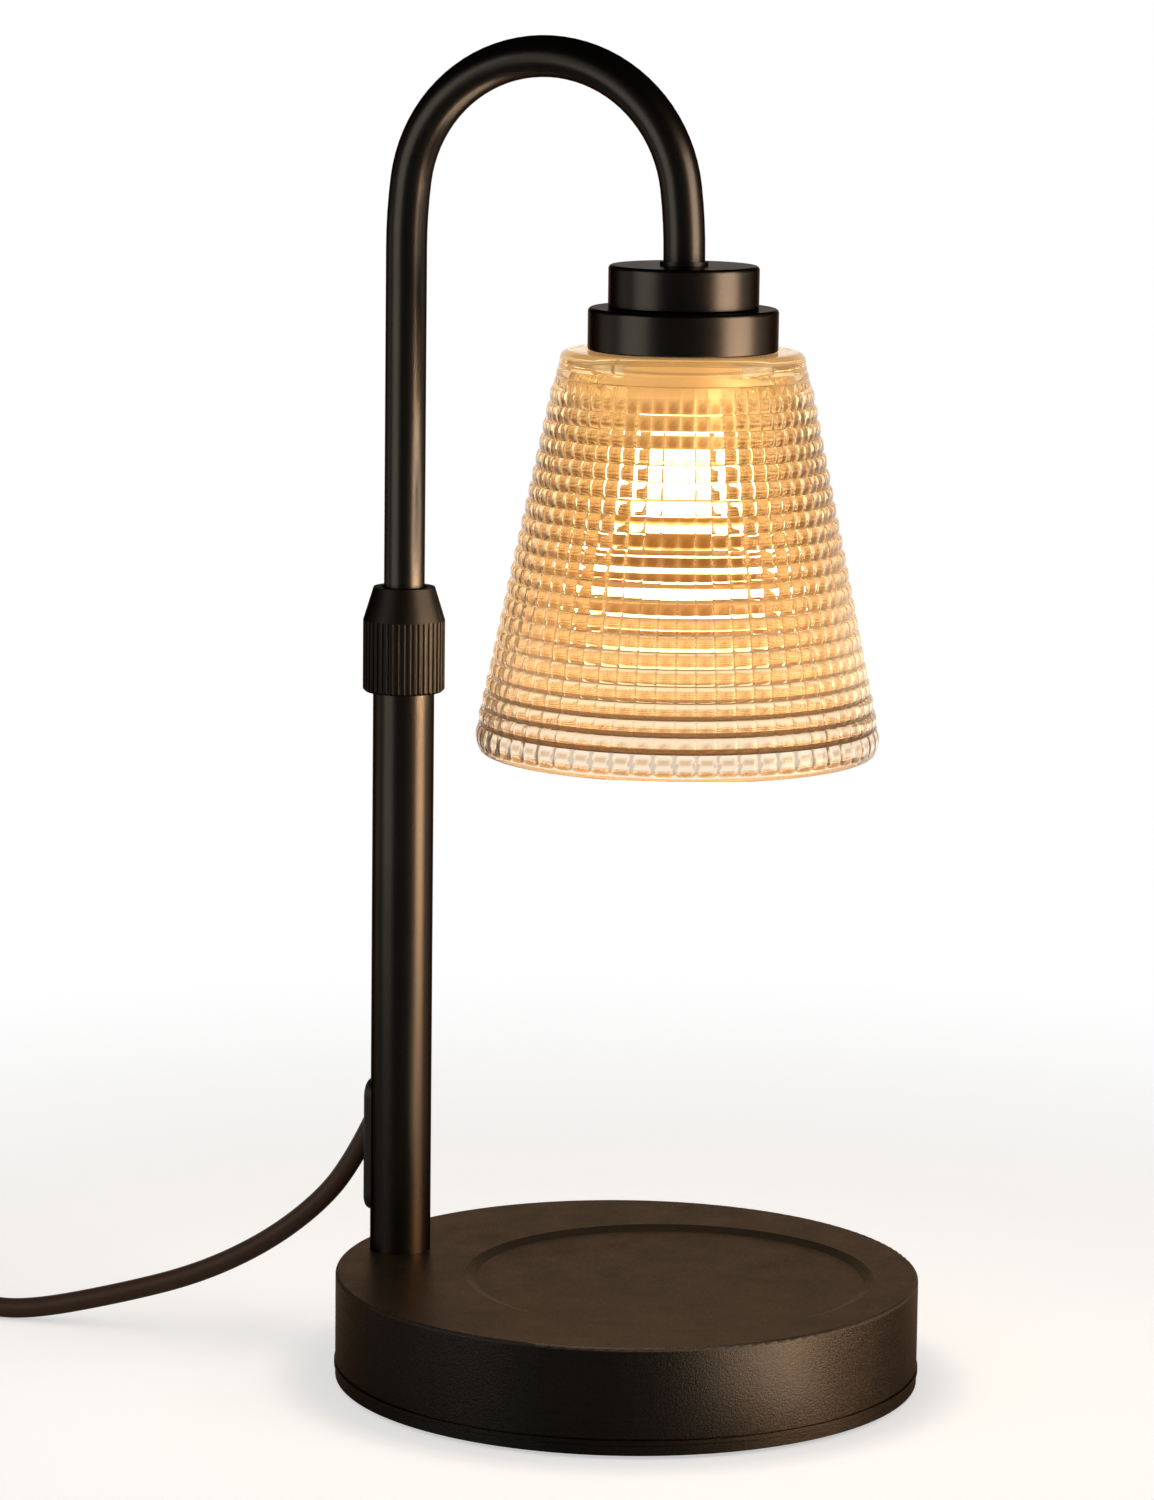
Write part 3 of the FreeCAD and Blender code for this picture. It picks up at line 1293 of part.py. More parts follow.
def make_cords():
    """The mains cord in its free stretches, the coil of its spare length and the inner lead."""
    route_pipe("cord_lamp_side", LAMP_SIDE_ROUTE, worth("cord_radius"))
    route_pipe("cord_coil_side", COIL_SIDE_ROUTE, worth("cord_radius"))
    route_pipe("cord_plug_side", PLUG_SIDE_ROUTE, worth("cord_radius"))
    relief_top = worth("base_top + relief_foot + relief_length + lead_straight")
    rise = worth(TUBE_FOOT) - relief_top
    lead_route = [(LEAD_WAVES[0][0], LEAD_WAVES[0][1], worth("base_top + relief_foot + relief_hold"))]
    lead_route += [(x, y, relief_top + share * rise) for x, y, share in LEAD_WAVES]
    route_pipe("lead_slack", lead_route, worth("lead_radius"))

    coil = turned_ring("cord_coil", "coil_inner - cord_radius - coil_skin",
                       "coil_outer + cord_radius + coil_skin",
                       "0", "2 * coil_layers * cord_radius + 2 * coil_skin", COIL_X, COIL_Y)
    height = worth("2 * coil_layers * cord_radius + 2 * coil_skin")
    round_off(coil, edges_where(coil, lambda edge: edge.Length > height + 1), "coil_rounding")
    for name, side, layer in (("coil_way_in", "-coil_outer", 1), ("coil_way_out", "coil_outer", 3)):
        stub = new_sketch(coil, name, "YZ_Plane")
        add_circle(stub, "cord_radius", side, f"{layer} * cord_radius + coil_skin")
        pad(coil, stub, "coil_stub")


def make_plug():
    """Two-pin plug that lies beside the coil, with its boot and flat blades."""
    rear = f"({COIL_X} + coil_stub + plug_reach + boot_length)"
    side = f"({COIL_Y} + coil_outer)"
    level = "(3 * cord_radius + coil_skin)"
    turned_level("plug_boot", [
        ("-boot_length", "cord_radius + cord_bore_gap"),
        ("-boot_length", "boot_thin"),
        ("0", "boot_thick"),
        ("0", "0"),
        ("boot_hold - boot_length", "0"),
        ("boot_hold - boot_length", "cord_radius + cord_bore_gap"),
    ], rear, side, level)

    plug = new_body("plug_body", rear, side, level)
    shape = new_sketch(plug, "plug_section", "YZ_Plane")
    add_rounded_box(shape, "plug_half_width", "plug_half_thickness", "plug_corner")
    pad(plug, shape, "plug_length")
    ends = [worth(rear), worth(f"{rear} + plug_length")]
    rim = edges_where(plug, lambda edge: any(
        max(abs(v.X - end) for v in edge.Vertexes) < 0.01 for end in ends))
    round_off(plug, rim, "plug_rounding")
    for name, sign in (("blade_pocket_1", ""), ("blade_pocket_2", "-")):
        pocket = new_sketch(plug, name, "YZ_Plane", "plug_length")
        add_outline(pocket, box_corners("blade_thickness / 2 + screw_gap", "blade_half_height + screw_gap",
                                        f"{sign}blade_half_spacing"))
        cut(plug, pocket, "blade_root")

    middle = f"{rear} + plug_length + (blade_length - blade_root) / 2"
    group_round("plug_blades", lambda: make_blade(level), "2", middle, side)


def make_blade(level):
    """One flat blade of the plug, upright on edge."""
    blade = new_body("plug_blade", "0", "0", level)
    shape = new_sketch(blade, "blade_section", "YZ_Plane")
    add_outline(shape, box_corners("blade_thickness / 2", "blade_half_height", "blade_half_spacing"))
    pad(blade, shape, "blade_length + blade_root", both_ways=True)
    return blade


# ---------------------------------------------------------------- all of it

def check_document():
    """Stop if any object of the document failed."""
    for item in doc.Objects:
        if "Invalid" in item.State or "Error" in item.State:
            raise ValueError(f"{item.Name} is in state {item.State}")


def write_parts():
    """Check each sub-part's shape and write it to a file of its own."""
    os.makedirs("parts", exist_ok=True)
    for node in NODES:
        shape = node.Shape
        if shape.isNull() or not shape.isValid() or shape.Volume <= 0:
            raise ValueError(f"{node.Label} has no sound shape")
    for node in NODES:
        node.Shape.exportStep(f"parts/{node.Label}.step")
        print(f"{node.Label}: {len(node.Shape.Solids)} solid, {node.Shape.Volume:.1f} mm3")
    print(f"{len(NODES)} sub-parts")


for make in (make_housing, make_cover, make_base_fittings, make_pole, make_outlet, make_lock, make_arm,
             make_head, make_shade, make_shade_fixing, make_holder, make_bulb, make_dimmer_shells,
             make_dimmer_works, make_cords, make_plug):
    make()
doc.recompute()
check_document()
write_parts()
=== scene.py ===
"""Candle warmer lamp: its looks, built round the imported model.

Metres, origin at the centre of the base's underside, +Z up, +X from the pole to the
head. The rigid nodes of the model keep their shape and take a finish here. The
pressed glass, the bulb's bowl, the spare lead and the mains cord are made here.
"""

import json
import logging
import math
from dataclasses import dataclass
from enum import Enum

import bmesh
import bpy
import numpy as np
from mathutils import Matrix, Vector


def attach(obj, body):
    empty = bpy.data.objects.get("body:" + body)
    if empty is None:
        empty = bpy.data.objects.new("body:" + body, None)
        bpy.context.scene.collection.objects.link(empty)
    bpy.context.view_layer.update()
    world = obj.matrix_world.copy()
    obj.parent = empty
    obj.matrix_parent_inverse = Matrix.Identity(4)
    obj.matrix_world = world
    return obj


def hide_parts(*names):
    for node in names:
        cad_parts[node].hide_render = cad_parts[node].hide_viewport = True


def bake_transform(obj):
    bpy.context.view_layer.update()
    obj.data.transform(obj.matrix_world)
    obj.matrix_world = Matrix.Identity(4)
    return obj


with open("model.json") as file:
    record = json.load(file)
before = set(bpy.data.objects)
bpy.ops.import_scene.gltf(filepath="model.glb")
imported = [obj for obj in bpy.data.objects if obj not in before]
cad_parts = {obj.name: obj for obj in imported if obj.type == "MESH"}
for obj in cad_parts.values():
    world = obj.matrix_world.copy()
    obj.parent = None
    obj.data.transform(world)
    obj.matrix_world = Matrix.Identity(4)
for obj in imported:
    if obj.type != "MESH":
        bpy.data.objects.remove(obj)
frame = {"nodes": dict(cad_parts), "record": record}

LOG = logging.getLogger("candle_warmer_lamp")
MM = 0.001
Colour = tuple[float, float, float]
Point = tuple[float, float, float]
Span = tuple[float, float]
Stops = tuple[tuple[float, Colour], ...]
BLACK: Colour = (0.0, 0.0, 0.0)
WHITE: Colour = (1.0, 1.0, 1.0)
HEAD_X = 0.0117
POLE_X = -0.0637


# ---------------------------------------------------------------- laying out shaders

class Mix(Enum):
    """How a second colour acts on the first."""

    OVER = "MIX"
    TIMES = "MULTIPLY"
    PLUS = "ADD"


class Curve(Enum):
    """How a value runs from one range to another."""

    STRAIGHT = "LINEAR"
    SMOOTH = "SMOOTHSTEP"


@dataclass
class Chart:
    """A node tree that is laid out one node at a time."""

    tree: bpy.types.NodeTree
    step: float = 200.0
    column: int = 0
    source: bpy.types.Node | None = None

    def add(self, kind: str, settings: dict | None = None, feeds: dict | None = None) -> bpy.types.Node:
        """Adds one node.

        Args:
            kind: The node's type without its ShaderNode prefix.
            settings: Properties of the node.
            feeds: Values or output sockets for its inputs, by name or number.

        Returns:
            The new node.
        """
        node = self.tree.nodes.new("ShaderNode" + kind)
        node.location.x = self.step * self.column
        self.column += 1
        for name, value in (settings or {}).items():
            setattr(node, name, value)
        for name, value in (feeds or {}).items():
            self.feed(node.inputs[name], value)
        return node

    def feed(self, socket: bpy.types.NodeSocket, value: object) -> None:
        """Links an output to the socket, or sets its plain value.

        Args:
            socket: The input.
            value: An output socket or a plain value. A colour has three channels.
        """
        if isinstance(value, bpy.types.NodeSocket):
            self.tree.links.new(value, socket)
        else:
            socket.default_value = (*value, 1.0) if socket.type == "RGBA" else value

    def dress(self, shader: bpy.types.Node, **values: object) -> None:
        """Feeds the shader's own sockets by name; an underscore stands for a space."""
        for name, value in values.items():
            self.feed(shader.inputs[name.replace("_", " ")], value)

    def maths(self, operation: str, *values: object) -> bpy.types.NodeSocket:
        """One sum on numbers, and its result."""
        return self.add("Math", {"operation": operation}, dict(enumerate(values))).outputs[0]

    def times(self, first: object, second: object) -> bpy.types.NodeSocket:
        """The product of two numbers."""
        return self.maths("MULTIPLY", first, second)

    def plus(self, first: object, second: object) -> bpy.types.NodeSocket:
        """The sum of two numbers."""
        return self.maths("ADD", first, second)

    def blend(self, share: object, first: object, second: object,
              mode: Mix = Mix.OVER) -> bpy.types.NodeSocket:
        """A mix of two colours.

        Args:
            share: How far the mix goes from the first to the second.
            first: The first colour, plain or from an output.
            second: The second colour.
            mode: How the second acts on the first.

        Returns:
            The mixed colour.
        """
        node = self.add("Mix", {"data_type": "RGBA", "blend_type": mode.value})
        for socket, value in ((node.inputs[0], share), (node.inputs[6], first), (node.inputs[7], second)):
            self.feed(socket, value)
        return node.outputs[2]

    def spread(self, value: object, low: float, high: object, new_low: float = 0.0,
               new_high: float = 1.0, curve: Curve = Curve.STRAIGHT) -> bpy.types.NodeSocket:
        """A value moved from one range to another and kept inside it.

        Args:
            value: The value.
            low: Start of its range.
            high: End of its range, which may lie below the start.
            new_low: What the start becomes.
            new_high: What the end becomes.
            curve: How it runs between them.

        Returns:
            The moved value.
        """
        feeds = {"Value": value, "From Min": low, "From Max": high, "To Min": new_low, "To Max": new_high}
        return self.add("MapRange", {"interpolation_type": curve.value}, feeds).outputs[0]

    def ramp(self, share: object, stops: Stops) -> bpy.types.NodeSocket:
        """A colour that runs through the stops.

        Args:
            share: Where along the ramp, from nought to one.
            stops: Places and colours in rising order.

        Returns:
            The colour there.
        """
        node = self.add("ValToRGB", None, {0: share})
        elements = node.color_ramp.elements
        while len(elements) > 1:
            elements.remove(elements[0])
        for index, (spot, colour) in enumerate(stops):
            element = elements[0] if index == 0 else elements.new(spot)
            element.position = spot
            element.color = (*colour, 1.0)
        return node.outputs[0]

    def coordinate(self, kind: str) -> bpy.types.NodeSocket:
        """A coordinate of that kind, from one node for the whole tree."""
        self.source = self.source or self.add("TexCoord")
        return self.source.outputs[kind]

    def place(self) -> bpy.types.NodeSocket:
        """The point on the object, in metres."""
        return self.coordinate("Object")

    def parts(self, vector: object) -> bpy.types.NodeOutputs:
        """The three parts of a vector."""
        return self.add("SeparateXYZ", None, {0: vector}).outputs

    def mark(self, name: str) -> bpy.types.NodeSocket:
        """A number that the mesh carries under that name."""
        return self.add("Attribute", {"attribute_name": name}).outputs["Fac"]

    def along(self, vector: object, way: Point) -> bpy.types.NodeSocket:
        """How far a vector reaches along a way."""
        return self.add("VectorMath", {"operation": "DOT_PRODUCT"}, {0: vector, 1: way}).outputs["Value"]

    def relief(self, height: object, distance: float) -> bpy.types.NodeSocket:
        """The normal of a relief with that height map and depth in metres."""
        return self.add("Bump", None, {"Height": height, "Distance": distance, "Strength": 1.0}).outputs[0]

    def mix_shaders(self, share: object, first: bpy.types.Node, second: bpy.types.Node) -> bpy.types.Node:
        """A shader that is partly the first and partly the second."""
        return self.add("MixShader", None, {0: share, 1: first.outputs[0], 2: second.outputs[0]})


class Effect(Enum):
    """Surface effects that several finishes share."""

    PEBBLE = "powder_pebble"
    TURNING = "turning_lines"
    TONE = "slow_tone"


class EffectKit:
    """The shared effects, each a node group that is made once."""

    softness: float = 0.7
    pit_share: float = -0.7
    grain_share: float = 0.6
    finer: float = 2.3

    def __init__(self) -> None:
        """Starts with no group made."""
        self.groups: dict[Effect, bpy.types.NodeTree] = {}

    def group(self, effect: Effect) -> bpy.types.NodeTree:
        """The node group of an effect, made the first time that it is asked for.

        Args:
            effect: Which effect.

        Returns:
            Its node group.
        """
        if effect not in self.groups:
            makers = {Effect.PEBBLE: self.pebble, Effect.TURNING: self.turning, Effect.TONE: self.tone}
            self.groups[effect] = makers[effect]()
        return self.groups[effect]

    def use(self, chart: Chart, effect: Effect, **feeds: object) -> bpy.types.NodeSocket:
        """Places an effect in a material and gives its output.

        Args:
            chart: The material's node tree.
            effect: Which effect.
            feeds: Its number inputs by name. Its Vector is the point on the object.

        Returns:
            The effect's output.
        """
        feeds = {"Vector": chart.place(), **feeds}
        return chart.add("Group", {"node_tree": self.group(effect)}, feeds).outputs[0]

    def blank(self, effect: Effect, numbers: dict[str, float], output: str) -> tuple[Chart, dict, object]:
        """An empty group with a Vector input, the named numbers and one output.

        Args:
            effect: Which effect the group is for.
            numbers: Its number inputs with their usual values.
            output: The name of its output.

        Returns:
            The chart, the input sockets by name, and the output socket.
        """
        tree = bpy.data.node_groups.new(effect.value, "ShaderNodeTree")
        tree.interface.new_socket("Vector", in_out="INPUT", socket_type="NodeSocketVector")
        for name, usual in numbers.items():
            socket = tree.interface.new_socket(name, in_out="INPUT", socket_type="NodeSocketFloat")
            socket.default_value = usual
        tree.interface.new_socket(output, in_out="OUTPUT", socket_type="NodeSocketFloat")
        inside = tree.nodes.new("NodeGroupInput")
        outside = tree.nodes.new("NodeGroupOutput")
        return Chart(tree), {socket.name: socket for socket in inside.outputs}, outside.inputs[0]

    def noise(self, chart: Chart, vector: object, scale: object, detail: float,
              roughness: object = 0.5) -> bpy.types.NodeSocket:
        """Plain noise.

        Args:
            chart: The group's chart.
            vector: Where it is read.
            scale: Its cells to the metre.
            detail: How many finer layers it has.
            roughness: How strong the finer layers are.

        Returns:
            Its height, about one half.
        """
        feeds = {"Vector": vector, "Scale": scale, "Detail": detail, "Roughness": roughness}
        return chart.add("TexNoise", None, feeds).outputs[0]

    def pebble(self) -> bpy.types.NodeTree:
        """Fine relief of a baked powder coat: soft round grains with a smaller grain over them.

        Returns:
            The group.
        """
        chart, given, out = self.blank(Effect.PEBBLE, {"Grain": 1800.0, "Sharpness": 0.5}, "Relief")
        cells = chart.add("TexVoronoi", {"feature": "SMOOTH_F1"},
                          {"Vector": given["Vector"], "Scale": given["Grain"], "Smoothness": self.softness})
        grain = self.noise(chart, given["Vector"], chart.times(given["Grain"], self.finer), detail=2.0,
                           roughness=given["Sharpness"])
        both = chart.plus(chart.times(cells.outputs["Distance"], self.pit_share),
                          chart.times(grain, self.grain_share))
        chart.feed(out, chart.plus(both, 0.5))
        return chart.tree

    def turning(self) -> bpy.types.NodeTree:
        """Fine level lines left by turning, each a short streak round the part.

        Returns:
            The group.
        """
        chart, given, out = self.blank(Effect.TURNING, {"Across": 60.0, "Along": 2600.0}, "Relief")
        cells = chart.add("CombineXYZ", None, {0: given["Across"], 1: given["Across"], 2: given["Along"]})
        scaled = chart.add("VectorMath", {"operation": "MULTIPLY"},
                           {0: given["Vector"], 1: cells.outputs[0]}).outputs[0]
        chart.feed(out, self.noise(chart, scaled, 1.0, detail=3.0, roughness=0.65))
        return chart.tree

    def tone(self) -> bpy.types.NodeTree:
        """Slow uneven tone, as thickness and handling leave it.

        Returns:
            The group.
        """
        chart, given, out = self.blank(Effect.TONE, {"Size": 40.0, "Contrast": 1.0}, "Share")
        cloud = self.noise(chart, given["Vector"], given["Size"], detail=4.0)
        swung = chart.times(chart.maths("SUBTRACT", cloud, 0.5), given["Contrast"])
        shifted = chart.add("Math", {"operation": "ADD", "use_clamp": True}, {0: swung, 1: 0.5})
        chart.feed(out, shifted.outputs[0])
        return chart.tree


KIT = EffectKit()


def start_material(name: str) -> tuple[bpy.types.Material, Chart, bpy.types.Node]:
    """A material with one shader.

    Args:
        name: The material's name.

    Returns:
        The material, its chart and its shader.
    """
    material = bpy.data.materials.new(name)
    material.use_nodes = True
    return material, Chart(material.node_tree), material.node_tree.nodes["Principled BSDF"]


# ---------------------------------------------------------------- finishes

@dataclass(frozen=True)
class Coat:
    """What paint, bare metal and mouldings share: two slow tones and a fine grain."""

    name: str
    dark: Colour
    light: Colour
    roughness: float = 0.5
    grain: float = 1500.0
    depth: float = 0.020 * MM
    # Painted light: a glow for parts that are no lamp, standing in for the bulb's light on them.
    glow: Colour = BLACK

    tone_size: float = 90.0
    tone_contrast: float = 1.6
    sharpness: float = 0.5
    grain_range: Span = (0.2, 0.8)

    def start(self) -> tuple[bpy.types.Material, Chart, bpy.types.Node, bpy.types.NodeSocket]:
        """Starts the material with its tones and its glow, which is painted light where a coat has one.

        Returns:
            The material, its chart, its shader, and the height of its grain.
        """
        material, chart, shader = start_material(self.name)
        tone = KIT.use(chart, Effect.TONE, Size=self.tone_size, Contrast=self.tone_contrast)
        chart.dress(shader, Base_Color=chart.blend(tone, self.dark, self.light), Emission_Color=self.glow,
                    Emission_Strength=1.0)
        pebble = KIT.use(chart, Effect.PEBBLE, Grain=self.grain, Sharpness=self.sharpness)
        return material, chart, shader, pebble

    def make(self) -> bpy.types.Material:
        """The coat's material, which each kind of coat makes in its own way."""
        raise NotImplementedError

    def rough(self, chart: Chart, share: object, ends: Span, swing: Span) -> bpy.types.NodeSocket:
        """The roughness, moved from one end of its swing to the other by the share."""
        return chart.spread(share, *ends, self.roughness + swing[0], self.roughness + swing[1])


@dataclass(frozen=True)
class SatinPaint(Coat):
    """Satin black bronze on metal: near black with a warm cast, pebbled, or with fine level lines."""

    dark: Colour = (0.037, 0.0330, 0.0288)
    light: Colour = (0.050, 0.0447, 0.0388)
    roughness: float = 0.36
    roughness_swing: float = 0.08
    edge: Colour = (0.30, 0.245, 0.20)
    line_depth: float = 0.0
    top_calm: float = 0.0
    corner_roughness: float = 0.0

    tone_size: float = 35.0
    tone_contrast: float = 1.4
    sharpness: float = 0.55
    line_range: Span = (0.3, 0.7)
    corner_starts: Span = (0.05, 0.30)
    corner_ends: Span = (0.85, 0.99)
    top_starts: Span = (0.02, 0.20)

    def make(self) -> bpy.types.Material:
        """The paint's material.

        It is calmer on top and rougher round corners, told by how far up the surface
        faces.

        Returns:
            The material.
        """
        material, chart, shader, pebble = self.start()
        lines = KIT.use(chart, Effect.TURNING, Across=90.0, Along=2400.0)
        swing = self.roughness_swing
        fresh = self.rough(chart, pebble, self.grain_range, (-swing, swing))
        streaks = chart.spread(lines, *self.line_range, -0.5 * swing, 0.5 * swing)
        up = chart.parts(chart.coordinate("Normal"))[2]
        corner = chart.times(chart.spread(up, *self.corner_starts, 0.0, self.corner_roughness),
                             chart.spread(up, *self.corner_ends, 1.0, 0.0))
        calm = chart.spread(up, *self.top_starts, 1.0, 1.0 - self.top_calm)
        relief = chart.times(chart.times(pebble, self.depth), calm)
        drawn = chart.times(lines, self.line_depth)
        chart.dress(shader, Roughness=chart.plus(chart.plus(fresh, streaks), corner), Metallic=1.0,
                    Specular_Tint=self.edge,
                    Normal=chart.relief(chart.times(chart.plus(relief, drawn), 1.0 / MM), MM))
        return material


@dataclass(frozen=True)
class BareMetal(Coat):
    """Zinc-plated steel, nickel, brass or cast iron."""

    roughness: float = 0.34
    grain: float = 900.0
    depth: float = 0.012 * MM
    metallic: float = 1.0

    tone_size: float = 160.0
    tone_contrast: float = 2.2
    sharpness: float = 0.6
    line_range: Span = (0.25, 0.75)
    rough_range: Span = (-0.08, 0.10)

    def make(self) -> bpy.types.Material:
        """The metal's material.

        Returns:
            The material.
        """
        material, chart, shader, pebble = self.start()
        lines = KIT.use(chart, Effect.TURNING, Across=200.0, Along=3500.0)
        chart.dress(shader, Roughness=self.rough(chart, lines, self.line_range, self.rough_range),
                    Metallic=self.metallic, Normal=chart.relief(chart.plus(lines, pebble), self.depth))
        return material


@dataclass(frozen=True)
class Moulding(Coat):
    """Moulded plastic, rubber, board or unglazed ceramic with a fine spark-eroded grain."""

    grain: float = 2200.0
    depth: float = 0.015 * MM
    sheen_level: float = 0.35
    soft_light: float = 0.0

    rough_range: Span = (-0.06, 0.08)

    def make(self) -> bpy.types.Material:
        """The moulding's material.

        Returns:
            The material.
        """
        material, chart, shader, pebble = self.start()
        chart.dress(shader, Roughness=self.rough(chart, pebble, self.grain_range, self.rough_range),
                    Specular_IOR_Level=self.sheen_level, Subsurface_Weight=self.soft_light,
                    Normal=chart.relief(pebble, self.depth))
        return material


@dataclass(frozen=True)
class PressedGlass:
    """Clear pressed glass with painted warm light: warm near the bulb and nearly colourless at its lip.

    It is deeper where it is seen along its wall, and a painted glow stands in for the bulb's light
    that it carries, most of all in its thick top. Painted shade darkens the hearts of the lenses,
    their joints lower down, the foot of each low row and a dark line where the wall is seen
    edge-on, and a painted highlight runs along the upper lens rims. The tint and the painted glow
    run from the lip to the top. Spans of faces and rims are shares from nought to one, and the
    other spans are heights in metres.
    """

    name: str
    # Painted light: the tint warms from the lip up towards the bulb, as the bulb's warm light would.
    painted_light_tints: Stops = (
        (0.0, (0.92, 0.77, 0.60)), (0.055, (0.92, 0.77, 0.60)), (0.085, (0.88, 0.70, 0.50)),
        (0.2, (0.90, 0.68, 0.41)), (0.5, (0.83, 0.59, 0.33)), (1.0, (0.78, 0.595, 0.345)),
    )
    # Painted light: a glow that stands in for the bulb's light that the glass carries, strongest in its
    # thick top.
    painted_bulb_glow: Stops = (
        (0.0, (0.03, 0.018, 0.010)), (0.22, (0.16, 0.105, 0.056)), (0.45, (0.08, 0.048, 0.020)),
        (0.65, (0.022, 0.011, 0.004)), (0.90, (0.022, 0.011, 0.004)), (1.0, (0.14, 0.086, 0.034)),
    )
    mirror: Colour = (0.36, 0.25, 0.14)
    deep: Colour = (0.62, 0.35, 0.12)
    deep_low: Colour = (0.96, 0.80, 0.58)
    through: Colour = (0.99, 0.98, 0.96)
    # Painted shade in the hearts of the lenses, pale and deep.
    painted_shade_pale: Colour = (0.56, 0.41, 0.26)
    painted_shade_deep: Colour = (0.11, 0.055, 0.022)
    # Painted shadow at the foot of each low row and on the lip.
    painted_row_shadow: Colour = (0.045, 0.021, 0.008)
    # Painted shade along the lens joints lower down.
    joint_shade: Colour = (0.36, 0.24, 0.13)
    # Painted shade: a dark line where the wall is seen edge-on, and its paler form low down.
    painted_edge_shade: Colour = (0.24, 0.12, 0.04)
    painted_edge_shade_low: Colour = (0.62, 0.42, 0.24)
    # Painted highlight along the upper lens rims.
    painted_rim_highlight: Colour = (0.18, 0.105, 0.038)

    tint_heights: Span = (0.168, 0.262)
    painted_glow_heights: Span = (0.168, 0.2685)
    aloft: Span = (0.205, 0.250)
    upper: Span = (0.195, 0.230)
    lower: Span = (0.230, 0.205)
    joints_from: Span = (0.174, 0.190)
    foot_thins: Span = (0.177, 0.205)
    foot_fades: Span = (0.182, 0.225)
    foot_rims: Span = (0.45, 0.95)
    foot_edge: float = 0.15
    facing_bend: float = 0.35
    edge_faces: Span = (0.25, 0.95)
    edge_most: float = 0.75
    line_faces: Span = (0.80, 0.98)
    heart_faces: Span = (0.10, 0.45)
    joint_faces: Span = (0.15, 0.45)
    joint_least: float = 0.25
    joint_rims: Span = (0.55, 1.0)
    wave_depth: float = 0.015 * MM

    def wall(self, chart: Chart, height: object, facing: object) -> bpy.types.NodeSocket:
        """Tint of the plain wall: painted warm light by height, deeper where it is seen along
        itself, and painted shade as a dark line where it is seen edge-on.

        Args:
            chart: The material's chart.
            height: Height on the shade.
            facing: How far the wall turns from the eye.

        Returns:
            The tint.
        """
        # Painted warm light: the tint by height.
        tint = chart.ramp(chart.spread(height, *self.tint_heights), self.painted_light_tints)
        aloft = chart.spread(height, *self.aloft)
        edge = chart.blend(aloft, self.deep_low, self.deep)
        # Painted shade: a dark line where the wall is seen edge-on.
        line = chart.blend(aloft, self.painted_edge_shade_low, self.painted_edge_shade)
        body = chart.blend(chart.spread(facing, *self.edge_faces, 0.0, self.edge_most), tint, edge)
        return chart.blend(chart.spread(facing, *self.line_faces), body, line)

    def lens(self, chart: Chart, height: object, facing: object, upper: object) -> bpy.types.NodeSocket:
        """Tint of the lenses: painted shade in the heart of each lens, at the joints lower down and at the
        foot of each low row.

        Args:
            chart: The material's chart.
            height: Height on the shade.
            facing: How far the wall turns from the eye.
            upper: One in the upper part of the shade.

        Returns:
            The tint, white where a lens has no painted shade.
        """
        # Painted shade: the heart of each lens is darker, most at the sides of the upper part.
        side = chart.times(upper, chart.spread(facing, *self.heart_faces))
        heart = chart.blend(side, self.painted_shade_pale, self.painted_shade_deep)
        # Painted shade along the joints lower down, faint where the wall is seen square on.
        square_on = chart.times(chart.spread(height, *self.lower),
                                chart.spread(facing, *self.joint_faces, 1.0, self.joint_least))
        fading = chart.times(square_on, chart.spread(height, *self.joints_from))
        joint_shade = chart.times(fading, chart.spread(chart.mark("lens_rim"), *self.joint_rims))
        # Painted shade at the foot of each low row and on the lip.
        thin = chart.spread(height, *self.foot_thins, *self.foot_rims)
        dark = chart.spread(chart.mark("lens_foot"), thin, chart.plus(thin, self.foot_edge))
        foot = chart.times(chart.spread(height, *self.foot_fades, 1.0, 0.0), dark)
        with_heart = chart.blend(chart.mark("lens_heart"), WHITE, heart)
        return chart.blend(foot, chart.blend(joint_shade, with_heart, self.joint_shade), self.painted_row_shadow)

    def make(self) -> bpy.types.Material:
        """The glass's material, which lets the lamps' light through to what is behind it.

        It is plain clear both for that light and for what satin metal mirrors.

        Returns:
            The material.
        """
        material, chart, shader = start_material(self.name)
        height = chart.parts(chart.place())[2]
        facing = chart.add("LayerWeight", None, {0: self.facing_bend}).outputs["Facing"]
        upper = chart.spread(height, *self.upper)
        tint = chart.blend(1.0, self.wall(chart, height, facing), self.lens(chart, height, facing, upper),
                           Mix.TIMES)
        # Painted glow standing in for the bulb's light in the glass.
        painted_bulb_glow = chart.ramp(chart.spread(height, *self.painted_glow_heights), self.painted_bulb_glow)
        # Painted highlight: a pale glow along the rims of the upper lenses.
        painted_rim_gleam = chart.blend(chart.times(chart.mark("lens_rim"), upper), BLACK, self.painted_rim_highlight)
        waves = KIT.use(chart, Effect.TONE, Size=220.0, Contrast=1.0)
        chart.dress(shader, Base_Color=tint, Transmission_Weight=1.0, Roughness=0.0, IOR=1.5,
                    Specular_Tint=self.mirror, Emission_Color=chart.blend(1.0, painted_bulb_glow, painted_rim_gleam, Mix.PLUS),
                    Emission_Strength=1.0, Normal=chart.relief(waves, self.wave_depth))
        path = chart.add("LightPath").outputs
        satin = chart.maths("SUBTRACT", 1.0, path["Is Singular Ray"])
        from_satin = chart.times(path["Is Glossy Ray"], satin)
        lamp_ray = chart.maths("MAXIMUM", path["Is Shadow Ray"], from_satin)
        clear = chart.add("BsdfTransparent", None, {0: self.through})
        mixed = chart.mix_shaders(lamp_ray, shader, clear)
        chart.feed(chart.tree.nodes["Material Output"].inputs[0], mixed.outputs[0])
        return material


